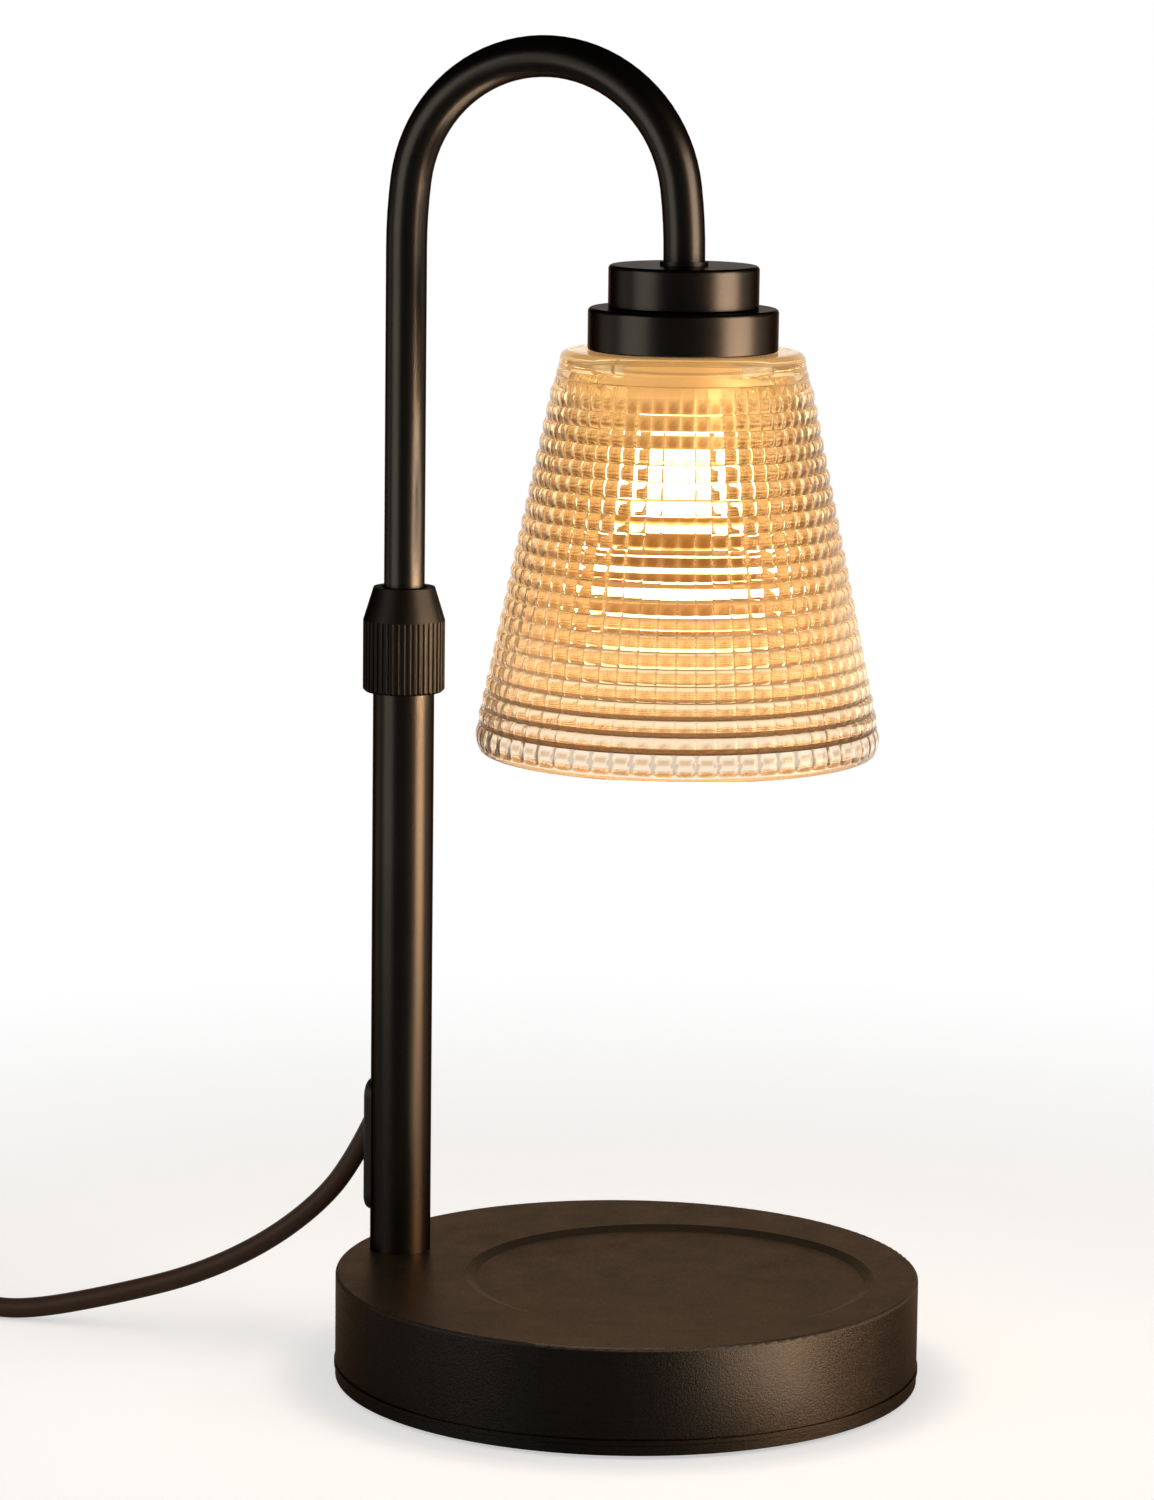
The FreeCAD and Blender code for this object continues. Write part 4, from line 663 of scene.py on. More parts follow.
@dataclass(frozen=True)
class GlowingGlass:
    """Part of the lit bulb, with bands of glow by height in metres."""

    name: str
    bands: Stops
    strength: float
    roughness: float = 0.15

    body: Colour = (0.10, 0.08, 0.05)
    heights: Span = (0.2048, 0.2502)
    dimmest: Colour = (0.85, 0.85, 0.85)
    roughness_swing: float = 0.1

    def make(self) -> bpy.types.Material:
        """The glowing part's material.

        Returns:
            The material.
        """
        material, chart, shader = start_material(self.name)
        low, high = self.heights
        share = chart.spread(chart.parts(chart.place())[2], low, high)
        bands = tuple(((level - low) / (high - low), colour) for level, colour in self.bands)
        ripple = KIT.use(chart, Effect.TONE, Size=300.0, Contrast=1.2)
        dimmer = chart.blend(ripple, self.dimmest, WHITE)
        rough = chart.spread(ripple, 0.0, 1.0, self.roughness, self.roughness + self.roughness_swing)
        chart.dress(shader, Base_Color=self.body, Roughness=rough, Emission_Strength=self.strength,
                    Emission_Color=chart.blend(1.0, chart.ramp(share, bands), dimmer, Mix.TIMES))
        return material


class Finishes:
    """Every finish of the lamp, made once, and the nodes that wear each."""

    coats: dict[str, Coat] = {
        "black_bronze_paint": SatinPaint("tube_paint", roughness=0.31, roughness_swing=0.03, grain=2600.0,
                                         depth=0.006 * MM, line_depth=0.004 * MM),
        "weight_iron": BareMetal("weight_iron", (0.10, 0.10, 0.10), (0.18, 0.17, 0.16), 0.6, 500.0,
                                 0.08 * MM),
        "zinc_steel": BareMetal("zinc_steel", (0.52, 0.53, 0.54), (0.68, 0.68, 0.66)),
        "brass": BareMetal("brass", (0.62, 0.44, 0.19), (0.80, 0.62, 0.32), 0.25),
        "nylon": Moulding("nylon", (0.72, 0.70, 0.64), (0.82, 0.80, 0.75), 0.45, soft_light=0.1),
        "black_rubber": Moulding("black_rubber", (0.012, 0.012, 0.012), (0.024, 0.023, 0.022), 0.75,
                                 1400.0, 0.03 * MM),
        "brown_black_pvc": Moulding("cord_sheath", (0.034, 0.0165, 0.008), (0.048, 0.024, 0.0125), 0.45,
                                    3200.0, 0.006 * MM, sheen_level=0.2),
        "black_plastic": Moulding("black_plastic", (0.0065, 0.006, 0.0055), (0.013, 0.012, 0.011), 0.42),
        "board_green": Moulding("board_green", (0.02, 0.12, 0.05), (0.05, 0.22, 0.10), 0.4),
        # The ceramic's glow is painted light: the bulb's light on the lamp holder, which is no lamp.
        "ceramic": Moulding("ceramic", (0.60, 0.57, 0.52), (0.70, 0.68, 0.64), 0.6, 1500.0,
                            sheen_level=0.15, glow=(0.30, 0.19, 0.08)),
    }
    housing: Coat = SatinPaint("housing_paint", edge=(0.80, 0.60, 0.47), roughness=0.41, grain=2100.0,
                               depth=0.07 * MM, top_calm=0.97, corner_roughness=0.22)
    collar: Coat = SatinPaint("collar_paint", (0.020, 0.0175, 0.0155), (0.026, 0.023, 0.020), 0.44,
                              2800.0, 0.01 * MM)
    # Painted light: the glow stands in for the bulb's light on the shade's carrier and ring.
    nickel: Coat = BareMetal("satin_nickel_painted_glow", (0.34, 0.31, 0.27), (0.42, 0.38, 0.33), 0.5, metallic=0.35,
                             glow=(0.62, 0.38, 0.17))
    silicone: Coat = Moulding("clear_silicone", (0.62, 0.58, 0.52), (0.74, 0.70, 0.64), 0.4,
                              soft_light=0.1)

    def __init__(self) -> None:
        """Makes the finishes."""
        self.by_slot = {slot: coat.make() for slot, coat in self.coats.items()}
        self.sheath = self.by_slot["brown_black_pvc"]
        self.glass = self.by_slot["clear_glass"] = PressedGlass("pressed_glass").make()
        self.by_slot["mirror_glass"] = self.by_slot["zinc_steel"]
        nickel, housing = self.nickel.make(), self.housing.make()
        self.by_node = {
            "base_housing": housing,
            "bottom_cover": housing,
            "lock_collar": self.collar.make(),
            "shade_carrier": nickel,
            "shade_ring": nickel,
            "shade_gasket": self.silicone.make(),
        }

    def dress_nodes(self) -> None:
        """Gives every node of the model the finish of its slot, or its own."""
        for part in frame["record"]["subparts"]:
            name = part["node"]
            material = self.by_node.get(name, self.by_slot[part["material_slot"]])
            wear(frame["nodes"][name], material)
            LOG.info("node %s wears %s", name, material.name)


def wear(piece: bpy.types.Object, material: bpy.types.Material) -> None:
    """Puts one material on the whole piece."""
    piece.data.materials.clear()
    piece.data.materials.append(material)


def show(piece: bpy.types.Object) -> bpy.types.Object:
    """Puts an object in the scene."""
    bpy.context.scene.collection.objects.link(piece)
    return piece


# ---------------------------------------------------------------- surfaces

def rising(values: np.ndarray, span: Span) -> np.ndarray:
    """Nought before the span, one past it, and even between."""
    return np.clip((values - span[0]) / (span[1] - span[0]), 0.0, 1.0)


def closed_surface(name: str, points: np.ndarray, crease: float) -> bpy.types.Object:
    """A closed ring-shaped surface from a grid of points.

    The first direction runs round the section, the second round the axis, and both
    close on themselves. Each face joins a point to its next ones in both directions.

    Args:
        name: The piece's name.
        points: Grid of shape (section, round, 3), in metres.
        crease: Edges that fold by more than this many degrees are kept sharp.

    Returns:
        The new object, with its place in its mesh.
    """
    rows, columns = points.shape[:2]
    index = np.arange(rows * columns).reshape(rows, columns)
    below = np.roll(index, -1, axis=0)
    beside = np.roll(index, -1, axis=1)
    across = np.roll(below, -1, axis=1)
    faces = np.stack([index, beside, across, below], axis=-1).reshape(-1, 4)
    mesh = bpy.data.meshes.new(name)
    mesh.from_pydata(points.reshape(-1, 3).tolist(), [], faces.tolist())
    mesh.polygons.foreach_set("use_smooth", np.ones(len(faces), dtype=bool))
    mesh.set_sharp_from_angle(angle=math.radians(crease))
    mesh.update()
    return show(bpy.data.objects.new(name, mesh))


def arc(centre: Span, radius: float, start: float, end: float, count: int) -> np.ndarray:
    """Points on a round corner: its centre plus its radius times the cosine and sine.

    Args:
        centre: Radius and height of its centre.
        radius: Its own radius.
        start: Where it starts, in degrees.
        end: Where it ends, in degrees.
        count: How many points.

    Returns:
        Radius and height of each point.
    """
    turn = np.radians(np.linspace(start, end, count))
    return np.array(centre) + radius * np.stack([np.cos(turn), np.sin(turn)], axis=-1)


def spin(section: np.ndarray, turns: np.ndarray) -> np.ndarray:
    """Carries a section round the head's upright axis.

    Each point is the axis plus its radius times the cosine and sine of the turn, at
    its own height. The section may differ from turn to turn.

    Args:
        section: Radius and height, of shape (section, round, 2).
        turns: Angles in radians, of shape (round,).

    Returns:
        Points of shape (section, round, 3).
    """
    radius, height = section[..., 0], section[..., 1]
    return np.stack([HEAD_X + radius * np.cos(turns), radius * np.sin(turns), height], axis=-1)


# ---------------------------------------------------------------- the glass shade

@dataclass
class PressedShade:
    """Thick glass cone with rows and columns of small convex lenses on its outside.

    Sizes are in metres. Steps and the places of rims, hearts and feet are shares of a
    row's or a column's length.
    """

    top: float = 0.26915
    foot: float = 0.16640
    hole: float = 0.0156
    roof: float = 0.0048
    shoulder: float = 0.0026
    top_radius: float = 0.0313
    rows_top: float = 0.25990
    rows_foot: float = 0.17340
    rows_radius: float = 0.0509
    lip_radius: float = 0.0517
    lip_round: float = 0.0012
    lip_bulge: float = 0.0007
    lip_start: float = 15.0
    wall: float = 0.0032
    rows: int = 21
    columns: int = 60
    grooves: tuple[float, ...] = (0.26460, 0.26240)
    groove_width: float = 0.0003
    groove_depth: float = 0.0002
    lip_rows: int = 2
    row_drop: float = 0.00065
    row_tucks: Span = (0.00030, 0.00085)
    row_steps: tuple[float, ...] = (0.0, 0.08, 0.20, 0.38, 0.66, 0.82, 0.96)
    column_steps: tuple[float, ...] = (0.0, 0.06, 0.15, 0.30, 0.50, 0.70, 0.85, 0.94)
    column_drop: float = 0.00046
    flat_steps: int = 5
    shoulder_steps: int = 9
    lip_steps: int = 9
    lip_corner_steps: tuple[int, int] = (7, 6)
    wall_steps: int = 12
    crease: float = 32.0

    crown: Span = (0.0, 0.38)
    tucked: Span = (0.60, 1.0)
    side_rim: Span = (0.60, 1.0)
    top_rim: Span = (0.0, 0.15)
    row_under: Span = (0.50, 0.80)
    heart_level: float = 0.64
    heart_reach: Span = (0.36, 0.80)
    heart_swell: float = 1.8
    lip_level: float = 0.40
    lip_reach: Span = (0.50, 0.70)
    lip_edge: Span = (0.3, 1.3)
    lip_shade: float = 0.53

    def cone(self, height: np.ndarray) -> np.ndarray:
        """Outer radius of the plain cone at a height: straight from the shoulder to the last row."""
        share = (self.top - self.shoulder - height) / (self.top - self.shoulder - self.rows_foot)
        return self.top_radius + (self.rows_radius - self.top_radius) * share

    def lens_rows(self) -> np.ndarray:
        """The lens rows from the first to the last.

        Each row takes its cone's radius at its foot, less a square-law drop over the
        top third and a tuck under at its foot, so it stands out like a pillow. The
        tuck deepens evenly from the first row to the last.

        Returns:
            Radius and height of each point.
        """
        steps = np.array(self.row_steps)
        pitch = (self.rows_top - self.rows_foot) / self.rows
        row = np.arange(self.rows)[:, None]
        height = self.rows_top - (row + steps) * pitch
        drop = self.row_drop * (1.0 - rising(steps, self.crown)) ** 2
        tuck = np.linspace(*self.row_tucks, self.rows)[:, None] * rising(steps, self.tucked) ** 2
        radius = self.cone(self.rows_top - (row + 1) * pitch) - drop - tuck
        return np.stack([radius, height], axis=-1).reshape(-1, 2)

    def section(self) -> tuple[np.ndarray, np.ndarray]:
        """The wall's closed section and where on a lens row each point lies.

        It runs out along the flat top, round the shoulder, over two fine grooves and
        the lens rows, down the lip, whose side is drawn in by the square of the
        distance from its middle, round the foot, straight up inside, and in under the
        roof.

        Returns:
            Radius and height round the section, and how far down its row each point
            lies, from nought to one. Off the rows that share is minus one.
        """
        edge = self.top_radius - self.shoulder
        flat = np.linspace((self.hole, self.top), (edge, self.top), self.flat_steps)[:-1]
        shoulder = arc((edge, self.top - self.shoulder), self.shoulder, 90.0, 0.0, self.shoulder_steps)
        across_groove = np.array([self.groove_width, 0.0, -self.groove_width])
        band_height = np.add.outer(self.grooves, across_groove).ravel()
        cut = np.tile([0.0, self.groove_depth, 0.0], len(self.grooves))
        band = np.stack([self.cone(band_height) - cut, band_height], axis=-1)
        inner = self.rows_radius - self.wall
        level = self.foot + self.lip_round
        lip_height = np.linspace(self.rows_foot, level, self.lip_steps)[:-1]
        bulge = np.linspace(1.0, -1.0, self.lip_steps)[:-1] ** 2
        lip_side = np.stack([self.lip_radius - self.lip_bulge * bulge, lip_height], axis=-1)
        down_lip = np.mod(np.linspace(0.0, self.lip_rows, self.lip_steps)[:-1], 1.0)
        outer = self.lip_radius - self.lip_bulge - self.lip_round
        outer_steps, inner_steps = self.lip_corner_steps
        outer_lip = arc((outer, level), self.lip_round, self.lip_start, -90.0, outer_steps)
        inner_lip = arc((inner + self.lip_round, level), self.lip_round, -90.0, -180.0, inner_steps)
        ceiling = self.top - self.roof
        corner = (float(self.cone(np.array(ceiling))) - self.wall, ceiling)
        inside = np.linspace((inner, self.rows_foot), corner, self.wall_steps)
        under = np.linspace(corner, (self.hole, ceiling), self.flat_steps)[1:]
        runs = ((flat, None), (shoulder, None), (band, None),
                (self.lens_rows(), np.tile(self.row_steps, self.rows)), (lip_side, down_lip),
                (outer_lip, None), (inner_lip, None), (inside, None), (under, None))
        shares = [np.full(len(run), -1.0) if down_row is None else down_row for run, down_row in runs]
        return np.concatenate([run for run, down_row in runs]), np.concatenate(shares)

    def mesh(self) -> bpy.types.Object:
        """The shade's glass.

        The section is carried round the axis. On the lens rows the radius falls by
        the fourth power of the distance from a column's middle, deepest at its joints,
        and the drop grows with the radius, as the columns widen.

        Returns:
            The shade, with its marks.
        """
        section, down_row = self.section()
        inside_column = np.array(self.column_steps)
        share = np.add.outer(np.arange(self.columns), inside_column).ravel()
        turns = 2.0 * math.pi * share / self.columns
        across = np.tile(np.abs(2.0 * inside_column - 1.0), self.columns)
        drop = self.column_drop * section[:, 0] / self.rows_radius * (down_row >= 0.0)
        grid = np.repeat(section[:, None, :], len(turns), axis=1)
        grid[..., 0] -= drop[:, None] * across ** 4
        piece = closed_surface("pressed_shade", spin(grid, turns)[::-1], self.crease)
        self.mark(piece, section[:, 1:], down_row[:, None], across)
        return piece

    def mark(self, piece: bpy.types.Object, height: np.ndarray, down_row: np.ndarray,
             across: np.ndarray) -> None:
        """Stores where each lens has its rim, its heart and its foot, for the glass to read: a painted
        highlight and painted shade on the rims, and painted shade in the hearts and feet.

        The rim is the outer third of a lens and its top edge. The heart is an oval
        about the middle of its lower part: one less the squares of the distances from
        there, swollen and capped at one. The foot is the lower half of a row, and on
        the lip all that lies outside such ovals.

        Args:
            piece: The shade.
            height: Height of each point of the section, as a column.
            down_row: How far down its row each point lies, and minus one off the rows.
            across: Distance of each turn from its column's middle, from nought to one.
        """
        on_rows = down_row >= 0.0
        rim = np.maximum(rising(across, self.side_rim), 1.0 - rising(down_row, self.top_rim))
        tall, wide = self.heart_reach
        oval = 1.0 - ((down_row - self.heart_level) / tall) ** 2 - (across / wide) ** 2
        heart = np.clip(self.heart_swell * oval, 0.0, 1.0)
        tall, wide = self.lip_reach
        outside = (across / wide) ** 2 + ((down_row - self.lip_level) / tall) ** 2
        foot = np.where(height <= self.rows_foot, self.lip_shade * rising(outside, self.lip_edge),
                        rising(down_row, self.row_under))
        for name, values in (("lens_rim", rim), ("lens_heart", heart), ("lens_foot", foot)):
            layer = piece.data.attributes.new(name, "FLOAT", "POINT")
            layer.data.foreach_set("value", (values * on_rows)[::-1].ravel().astype(np.float32))

    def dress(self, finishes: Finishes) -> None:
        """Makes the glass, finishes it and puts it in place of the plain stepped cone.

        Args:
            finishes: The lamp's finishes.
        """
        piece = self.mesh()
        wear(piece, finishes.glass)
        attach(piece, "arm")
        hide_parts("glass_shade")
        LOG.info("shade: %d faces", len(piece.data.polygons))


# ---------------------------------------------------------------- the bulb

@dataclass
class ReflectorBulb:
    """Lit reflector bulb: a smooth bowl with small mirror facets inside."""

    face: float = 0.2048
    rim: float = 0.2080
    neck: float = 0.2363
    radius: float = 0.0250
    neck_radius: float = 0.0094
    glass: float = 0.0012
    facets: int = 32
    facet_rows: int = 6
    facet_depth: float = 0.00025
    facet_steps: int = 6
    height_steps: int = 28
    crease: float = 40.0

    white: Colour = (1.0, 0.86, 0.60)
    hot: Colour = (1.0, 0.97, 0.86)
    amber: Colour = (0.060, 0.030, 0.008)
    deep: Colour = (0.040, 0.018, 0.004)
    bowl_bands: Stops = (
        (0.2048, amber), (0.2098, amber), (0.2104, hot), (0.2146, hot), (0.2150, amber), (0.2184, deep),
        (0.2187, hot), (0.2193, hot), (0.2197, deep), (0.2262, amber), (0.2280, (0.3, 0.2, 0.09)),
        (0.2286, white), (0.2320, hot), (0.2363, hot),
    )
    neck_bands: Stops = ((0.2363, hot), (0.2460, white), (0.2495, (0.5, 0.33, 0.14)))
    lens_bands: Stops = ((0.2056, hot), (0.2072, white))
    capsule_bands: Stops = ((0.2163, hot), (0.2363, hot))

    def bowl(self, share: np.ndarray, inset: float) -> np.ndarray:
        """One side of the bowl: its squared radius falls evenly with height.

        Args:
            share: Places up the bowl, from nought at its rim to one at its neck.
            inset: How far inside the outer surface it lies.

        Returns:
            Radius and height of each point.
        """
        fall = (self.radius ** 2 - self.neck_radius ** 2) * share
        return np.stack([np.sqrt(self.radius ** 2 - fall) - inset,
                         self.rim + (self.neck - self.rim) * share], axis=-1)

    def mesh(self) -> bpy.types.Object:
        """The bowl: outside up from the rim, inside down again, with facets inside.

        The facets lower the inner radius by a cosine round the axis times a sine up
        the bowl.

        Returns:
            The bowl.
        """
        share = np.linspace(0.0, 1.0, self.height_steps)
        rim = np.array([[self.radius - self.glass, self.face], [self.radius, self.face]])
        section = np.concatenate([rim, self.bowl(share, 0.0), self.bowl(share, self.glass)[::-1]])
        rows = np.abs(np.sin(share[::-1] * math.pi * self.facet_rows))
        weight = np.concatenate([np.zeros(len(section) - len(rows)), rows])
        turns = np.linspace(0.0, 2.0 * math.pi, self.facets * self.facet_steps, endpoint=False)
        ripple = 0.5 - 0.5 * np.cos(turns * self.facets)
        grid = np.repeat(section[:, None, :], len(turns), axis=1)
        grid[..., 0] -= self.facet_depth * weight[:, None] * ripple
        return closed_surface("bulb_bowl", spin(grid, turns), self.crease)

    def dress(self) -> None:
        """Makes the bowl and gives the lit parts their glow."""
        bowl = self.mesh()
        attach(bowl, "bulb")
        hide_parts("bulb_reflector")
        nodes = frame["nodes"]
        for piece, glow in (
                (bowl, GlowingGlass("bowl_glow", self.bowl_bands, strength=10.0)),
                (nodes["bulb_base"],
                 GlowingGlass("neck_glow", self.neck_bands, strength=8.0, roughness=0.5)),
                (nodes["bulb_lens"], GlowingGlass("lens_glow", self.lens_bands, strength=3.0)),
                (nodes["bulb_capsule"], GlowingGlass("capsule_glow", self.capsule_bands, strength=9.0))):
            wear(piece, glow.make())
        LOG.info("bulb: %d faces", len(bowl.data.polygons))


# ---------------------------------------------------------------- the cords

@dataclass
class MainsCord:
    """Round two-core cord from the pole through the dimmer to the coiled spare length and plug."""

    radius: float = 0.0027
    coil_x: float = -0.3520
    coil_y: float = 0.0280
    coil_outer: float = 0.0390
    coil_inner: float = 0.0249
    lower: float = 0.00275
    upper: float = 0.00815
    wound_degrees: float = 930.0
    climb_degrees: float = 120.0
    step_degrees: float = 22.5
    start_degrees: float = -90.0

    round_steps: int = 5
    curve_steps: int = 10
    lamp_side: tuple[Point, ...] = (
        (-2.7, 0.0, 84.0), (-2.7, 0.0, 72.0), (-14.6, 0.0, 48.5), (-23.7, -1.2, 37.4),
        (-38.2, -2.2, 25.9), (-56.7, -4.1, 16.1), (-78.7, -6.1, 9.0), (-103.6, -9.1, 2.7),
        (-117.3, -10.7, 2.7), (-130.3, -11.0, 6.2), (-144.8, -11.0, 6.2),
    )
    coil_side: tuple[Point, ...] = (
        (-228.8, -11.0, 6.2), (-243.3, -11.0, 6.2), (-256.6, -11.0, 2.75), (-267.3, -11.0, 2.75),
    )
    plug_side: tuple[Point, ...] = ((-267.3, 67.0, 8.15), (-245.3, 67.0, 8.15))
    control: tuple[str, ...] = (
        "dimmer_base", "dimmer_cover", "circuit_board", "dial_control", "timer_switch", "dimmer_screws",
        "dimmer_boots", "dimmer_dial", "timer_button",
    )
    plug: tuple[str, ...] = ("plug_boot", "plug_body", "plug_blades")

    def from_pole(self, corners: tuple[Point, ...]) -> np.ndarray:
        """Corners given in millimetres from the pole's axis, in metres from the base's centre."""
        return np.array(corners) * MM + np.array([POLE_X, 0.0, 0.0])

    def coil(self) -> np.ndarray:
        """The coil.

        Clockwise from its near side: inward on the lower layer, up at the inside, and
        outward on the upper layer. The radius falls and grows evenly with the turn,
        and the height climbs evenly between the layers.

        Returns:
            Control points in metres.
        """
        wound, risen = self.wound_degrees, self.wound_degrees + self.climb_degrees
        whole = wound + risen
        turned = np.linspace(0.0, whole, round(whole / self.step_degrees) + 1)
        inward = rising(turned, (0.0, wound)) - rising(turned, (risen, whole))
        radius = self.coil_outer + (self.coil_inner - self.coil_outer) * inward
        height = self.lower + (self.upper - self.lower) * rising(turned, (wound, risen))
        angle = np.radians(self.start_degrees - turned)
        return np.stack([self.coil_x + radius * np.cos(angle),
                         self.coil_y + radius * np.sin(angle), height], axis=-1)

    def strand(self, name: str, points: np.ndarray) -> bpy.types.Object:
        """A round cord along a smooth curve drawn by its control points.

        Args:
            name: The piece's name.
            points: Control points in metres, of shape (count, 3).

        Returns:
            The new curve object.
        """
        curve = bpy.data.curves.new(name, "CURVE")
        curve.dimensions = "3D"
        curve.bevel_depth = self.radius
        curve.bevel_resolution = self.round_steps
        curve.resolution_u = self.curve_steps
        curve.use_fill_caps = True
        spline = curve.splines.new("NURBS")
        spline.points.add(len(points) - 1)
        spline.points.foreach_set("co", np.c_[points, np.ones(len(points))].ravel())
        spline.order_u = 3
        spline.use_endpoint_u = True
        return show(bpy.data.objects.new(name, curve))

    def dress(self, finishes: Finishes) -> None:
        """Lays both lengths of cord.

        Args:
            finishes: The lamp's finishes.
        """
        first = self.strand("cord_to_dimmer", self.from_pole(self.lamp_side))
        second = self.strand("cord_to_plug", np.concatenate(
            [self.from_pole(self.coil_side), self.coil(), self.from_pole(self.plug_side)]))
        for piece in (first, second):
            wear(piece, finishes.sheath)
            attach(piece, "root")
        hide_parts("cord_lamp_side")
        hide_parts("cord_coil_side", "cord_coil", "cord_plug_side")
        LOG.info("cord: two lengths laid")


@dataclass
class SpareLead:
    """Waved lead in the pole. In the lamp it folds and opens as the upper tube slides; here it keeps one
    shape.
    """

    clamp: float = 0.084
    weld: float = 0.01 * MM

    def dress(self, finishes: Finishes) -> None:
        """Makes the lead as one joined surface, lying in the pole below and the tube above.

        Args:
            finishes: The lamp's finishes.
        """
        mesh = frame["nodes"]["lead_slack"].data.copy()
        joined = bmesh.new()
        joined.from_mesh(mesh)
        bmesh.ops.remove_doubles(joined, verts=joined.verts, dist=self.weld)
        joined.to_mesh(mesh)
        joined.free()
        mesh.polygons.foreach_set("use_smooth", np.ones(len(mesh.polygons), dtype=bool))
        piece = show(bpy.data.objects.new("spare_lead", mesh))
        wear(piece, finishes.sheath)
        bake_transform(piece)
        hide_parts("lead_slack")
        LOG.info("spare lead: %d faces", len(mesh.polygons))


# ---------------------------------------------------------------- studio

@dataclass
class Studio:
    """Pale floor, plain soft light and the camera.

    Angles are in radians, the lens and its film in millimetres, powers in watts.
    """

    eye: Point = (0.44267, -1.27833, 0.38479)
    heading: float = -0.34415788713091694
    dip: float = 0.1606
    roll: float = -0.0118
    lens: float = 127.954
    film: float = 36.0
    target: Point = (0.0, 0.0, 0.20)

    floor_reach: float = 6.0
    floor_level: float = -0.0002
    floor_paint: Colour = (0.55, 0.55, 0.55)
    floor_glow: Colour = (0.52, 0.52, 0.52)
    floor_plain: Colour = (0.7, 0.7, 0.7)
    floor_fades: Span = (0.16, 0.55)
    floor_lit: Span = (-0.08, 0.40)

    room_colour: Colour = (1.0, 0.98, 0.96)
    room_level: float = 0.45
    room_front: float = 0.09
    room_back: float = 0.75
    wall_rises: Span = (0.2, 0.9)
    ceiling_rises: Span = (0.10, 0.5)
    ceiling_level: float = 0.2
    gap_level: float = 0.32
    gap_count: float = 4.0
    gap_closes: Span = (-1.0, -0.55)
    panel_ends: Span = (0.06, 0.24)

    card_colour: Colour = (1.0, 0.80, 0.62)
    card_level: float = 0.002
    bulb_place: Point = (HEAD_X, 0.0, 0.205)
    bulb_colour: Colour = (1.0, 0.80, 0.58)
    bulb_power: float = 0.8
    bulb_softness: float = 0.042

    @property
    def ahead(self) -> Point:
        """The way that the camera faces, laid level."""
        return (math.sin(self.heading), math.cos(self.heading), 0.0)

    def set_camera(self) -> None:
        """Stands the camera at its place, dipped and rolled about its own line of sight."""
        east, north, _ = self.ahead
        ahead = Vector((east * math.cos(self.dip), north * math.cos(self.dip), -math.sin(self.dip)))
        level = Vector((math.cos(self.heading), -math.sin(self.heading), 0.0))
        upright = level.cross(ahead)
        right = math.cos(self.roll) * level - math.sin(self.roll) * upright
        up = math.sin(self.roll) * level + math.cos(self.roll) * upright
        data = bpy.data.cameras.new("camera")
        data.sensor_fit = "VERTICAL"
        data.sensor_height = self.film
        data.lens = self.lens
        axes = Matrix((right, up, -ahead)).transposed().to_4x4()
        camera = show(bpy.data.objects.new("camera", data))
        camera.matrix_world = Matrix.Translation(self.eye) @ axes
        bpy.context.scene.camera = camera
        LOG.info("camera set")

    def looked_at(self, chart: Chart) -> tuple[bpy.types.NodeOutputs, bpy.types.NodeSocket]:
        """Whether something is looked at: by the camera, in gloss or through glass.

        Args:
            chart: The chart to add to.

        Returns:
            What is known of the ray, and one where it looks.
        """
        path = chart.add("LightPath").outputs
        either = chart.maths("MAXIMUM", path["Is Camera Ray"], path["Is Glossy Ray"])
        return path, chart.maths("MAXIMUM", either, path["Is Transmission Ray"])

    def floor_material(self) -> bpy.types.Material:
        """Pale paint that runs out to white further off, dimmer in front where gloss mirrors it.

        Returns:
            The material.
        """
        material, chart, shader = start_material("pale_floor")
        chart.tree.nodes.remove(shader)
        path, looked_at = self.looked_at(chart)
        distance = chart.add("VectorMath", {"operation": "LENGTH"}, {0: chart.place()}).outputs["Value"]
        far = chart.spread(distance, *self.floor_fades, curve=Curve.SMOOTH)
        lit = chart.spread(chart.along(chart.place(), self.ahead), *self.floor_lit, self.room_front, 1.0,
                           Curve.SMOOTH)
        mirrored = {0: path["Is Glossy Ray"], 2: 1.0, 3: lit}
        dimmed = chart.add("Mix", {"data_type": "FLOAT"}, mirrored).outputs[0]
        pale = chart.blend(far, self.floor_paint, BLACK)
        paint = chart.add("BsdfDiffuse", None, {0: chart.blend(dimmed, BLACK, pale)})
        white = chart.blend(far, self.floor_glow, WHITE)
        glow = chart.add("Emission", None, {0: white, 1: dimmed})
        seen = chart.add("AddShader", None, {0: paint.outputs[0], 1: glow.outputs[0]})
        plain = chart.add("BsdfDiffuse", None, {0: self.floor_plain})
        chart.feed(chart.tree.nodes["Material Output"].inputs[0],
                   chart.mix_shaders(looked_at, plain, seen).outputs[0])
        return material

    def lay_floor(self) -> None:
        """Lays a floor that keeps the lamp's shadow."""
        square = np.array([(-1.0, -1.0, 0.0), (1.0, -1.0, 0.0), (1.0, 1.0, 0.0), (-1.0, 1.0, 0.0)])
        mesh = bpy.data.meshes.new("floor")
        mesh.from_pydata((self.floor_reach * square).tolist(), [], [(0, 1, 2, 3)])
        floor = show(bpy.data.objects.new("floor", mesh))
        floor.location.z = self.floor_level
        wear(floor, self.floor_material())
        LOG.info("floor laid")

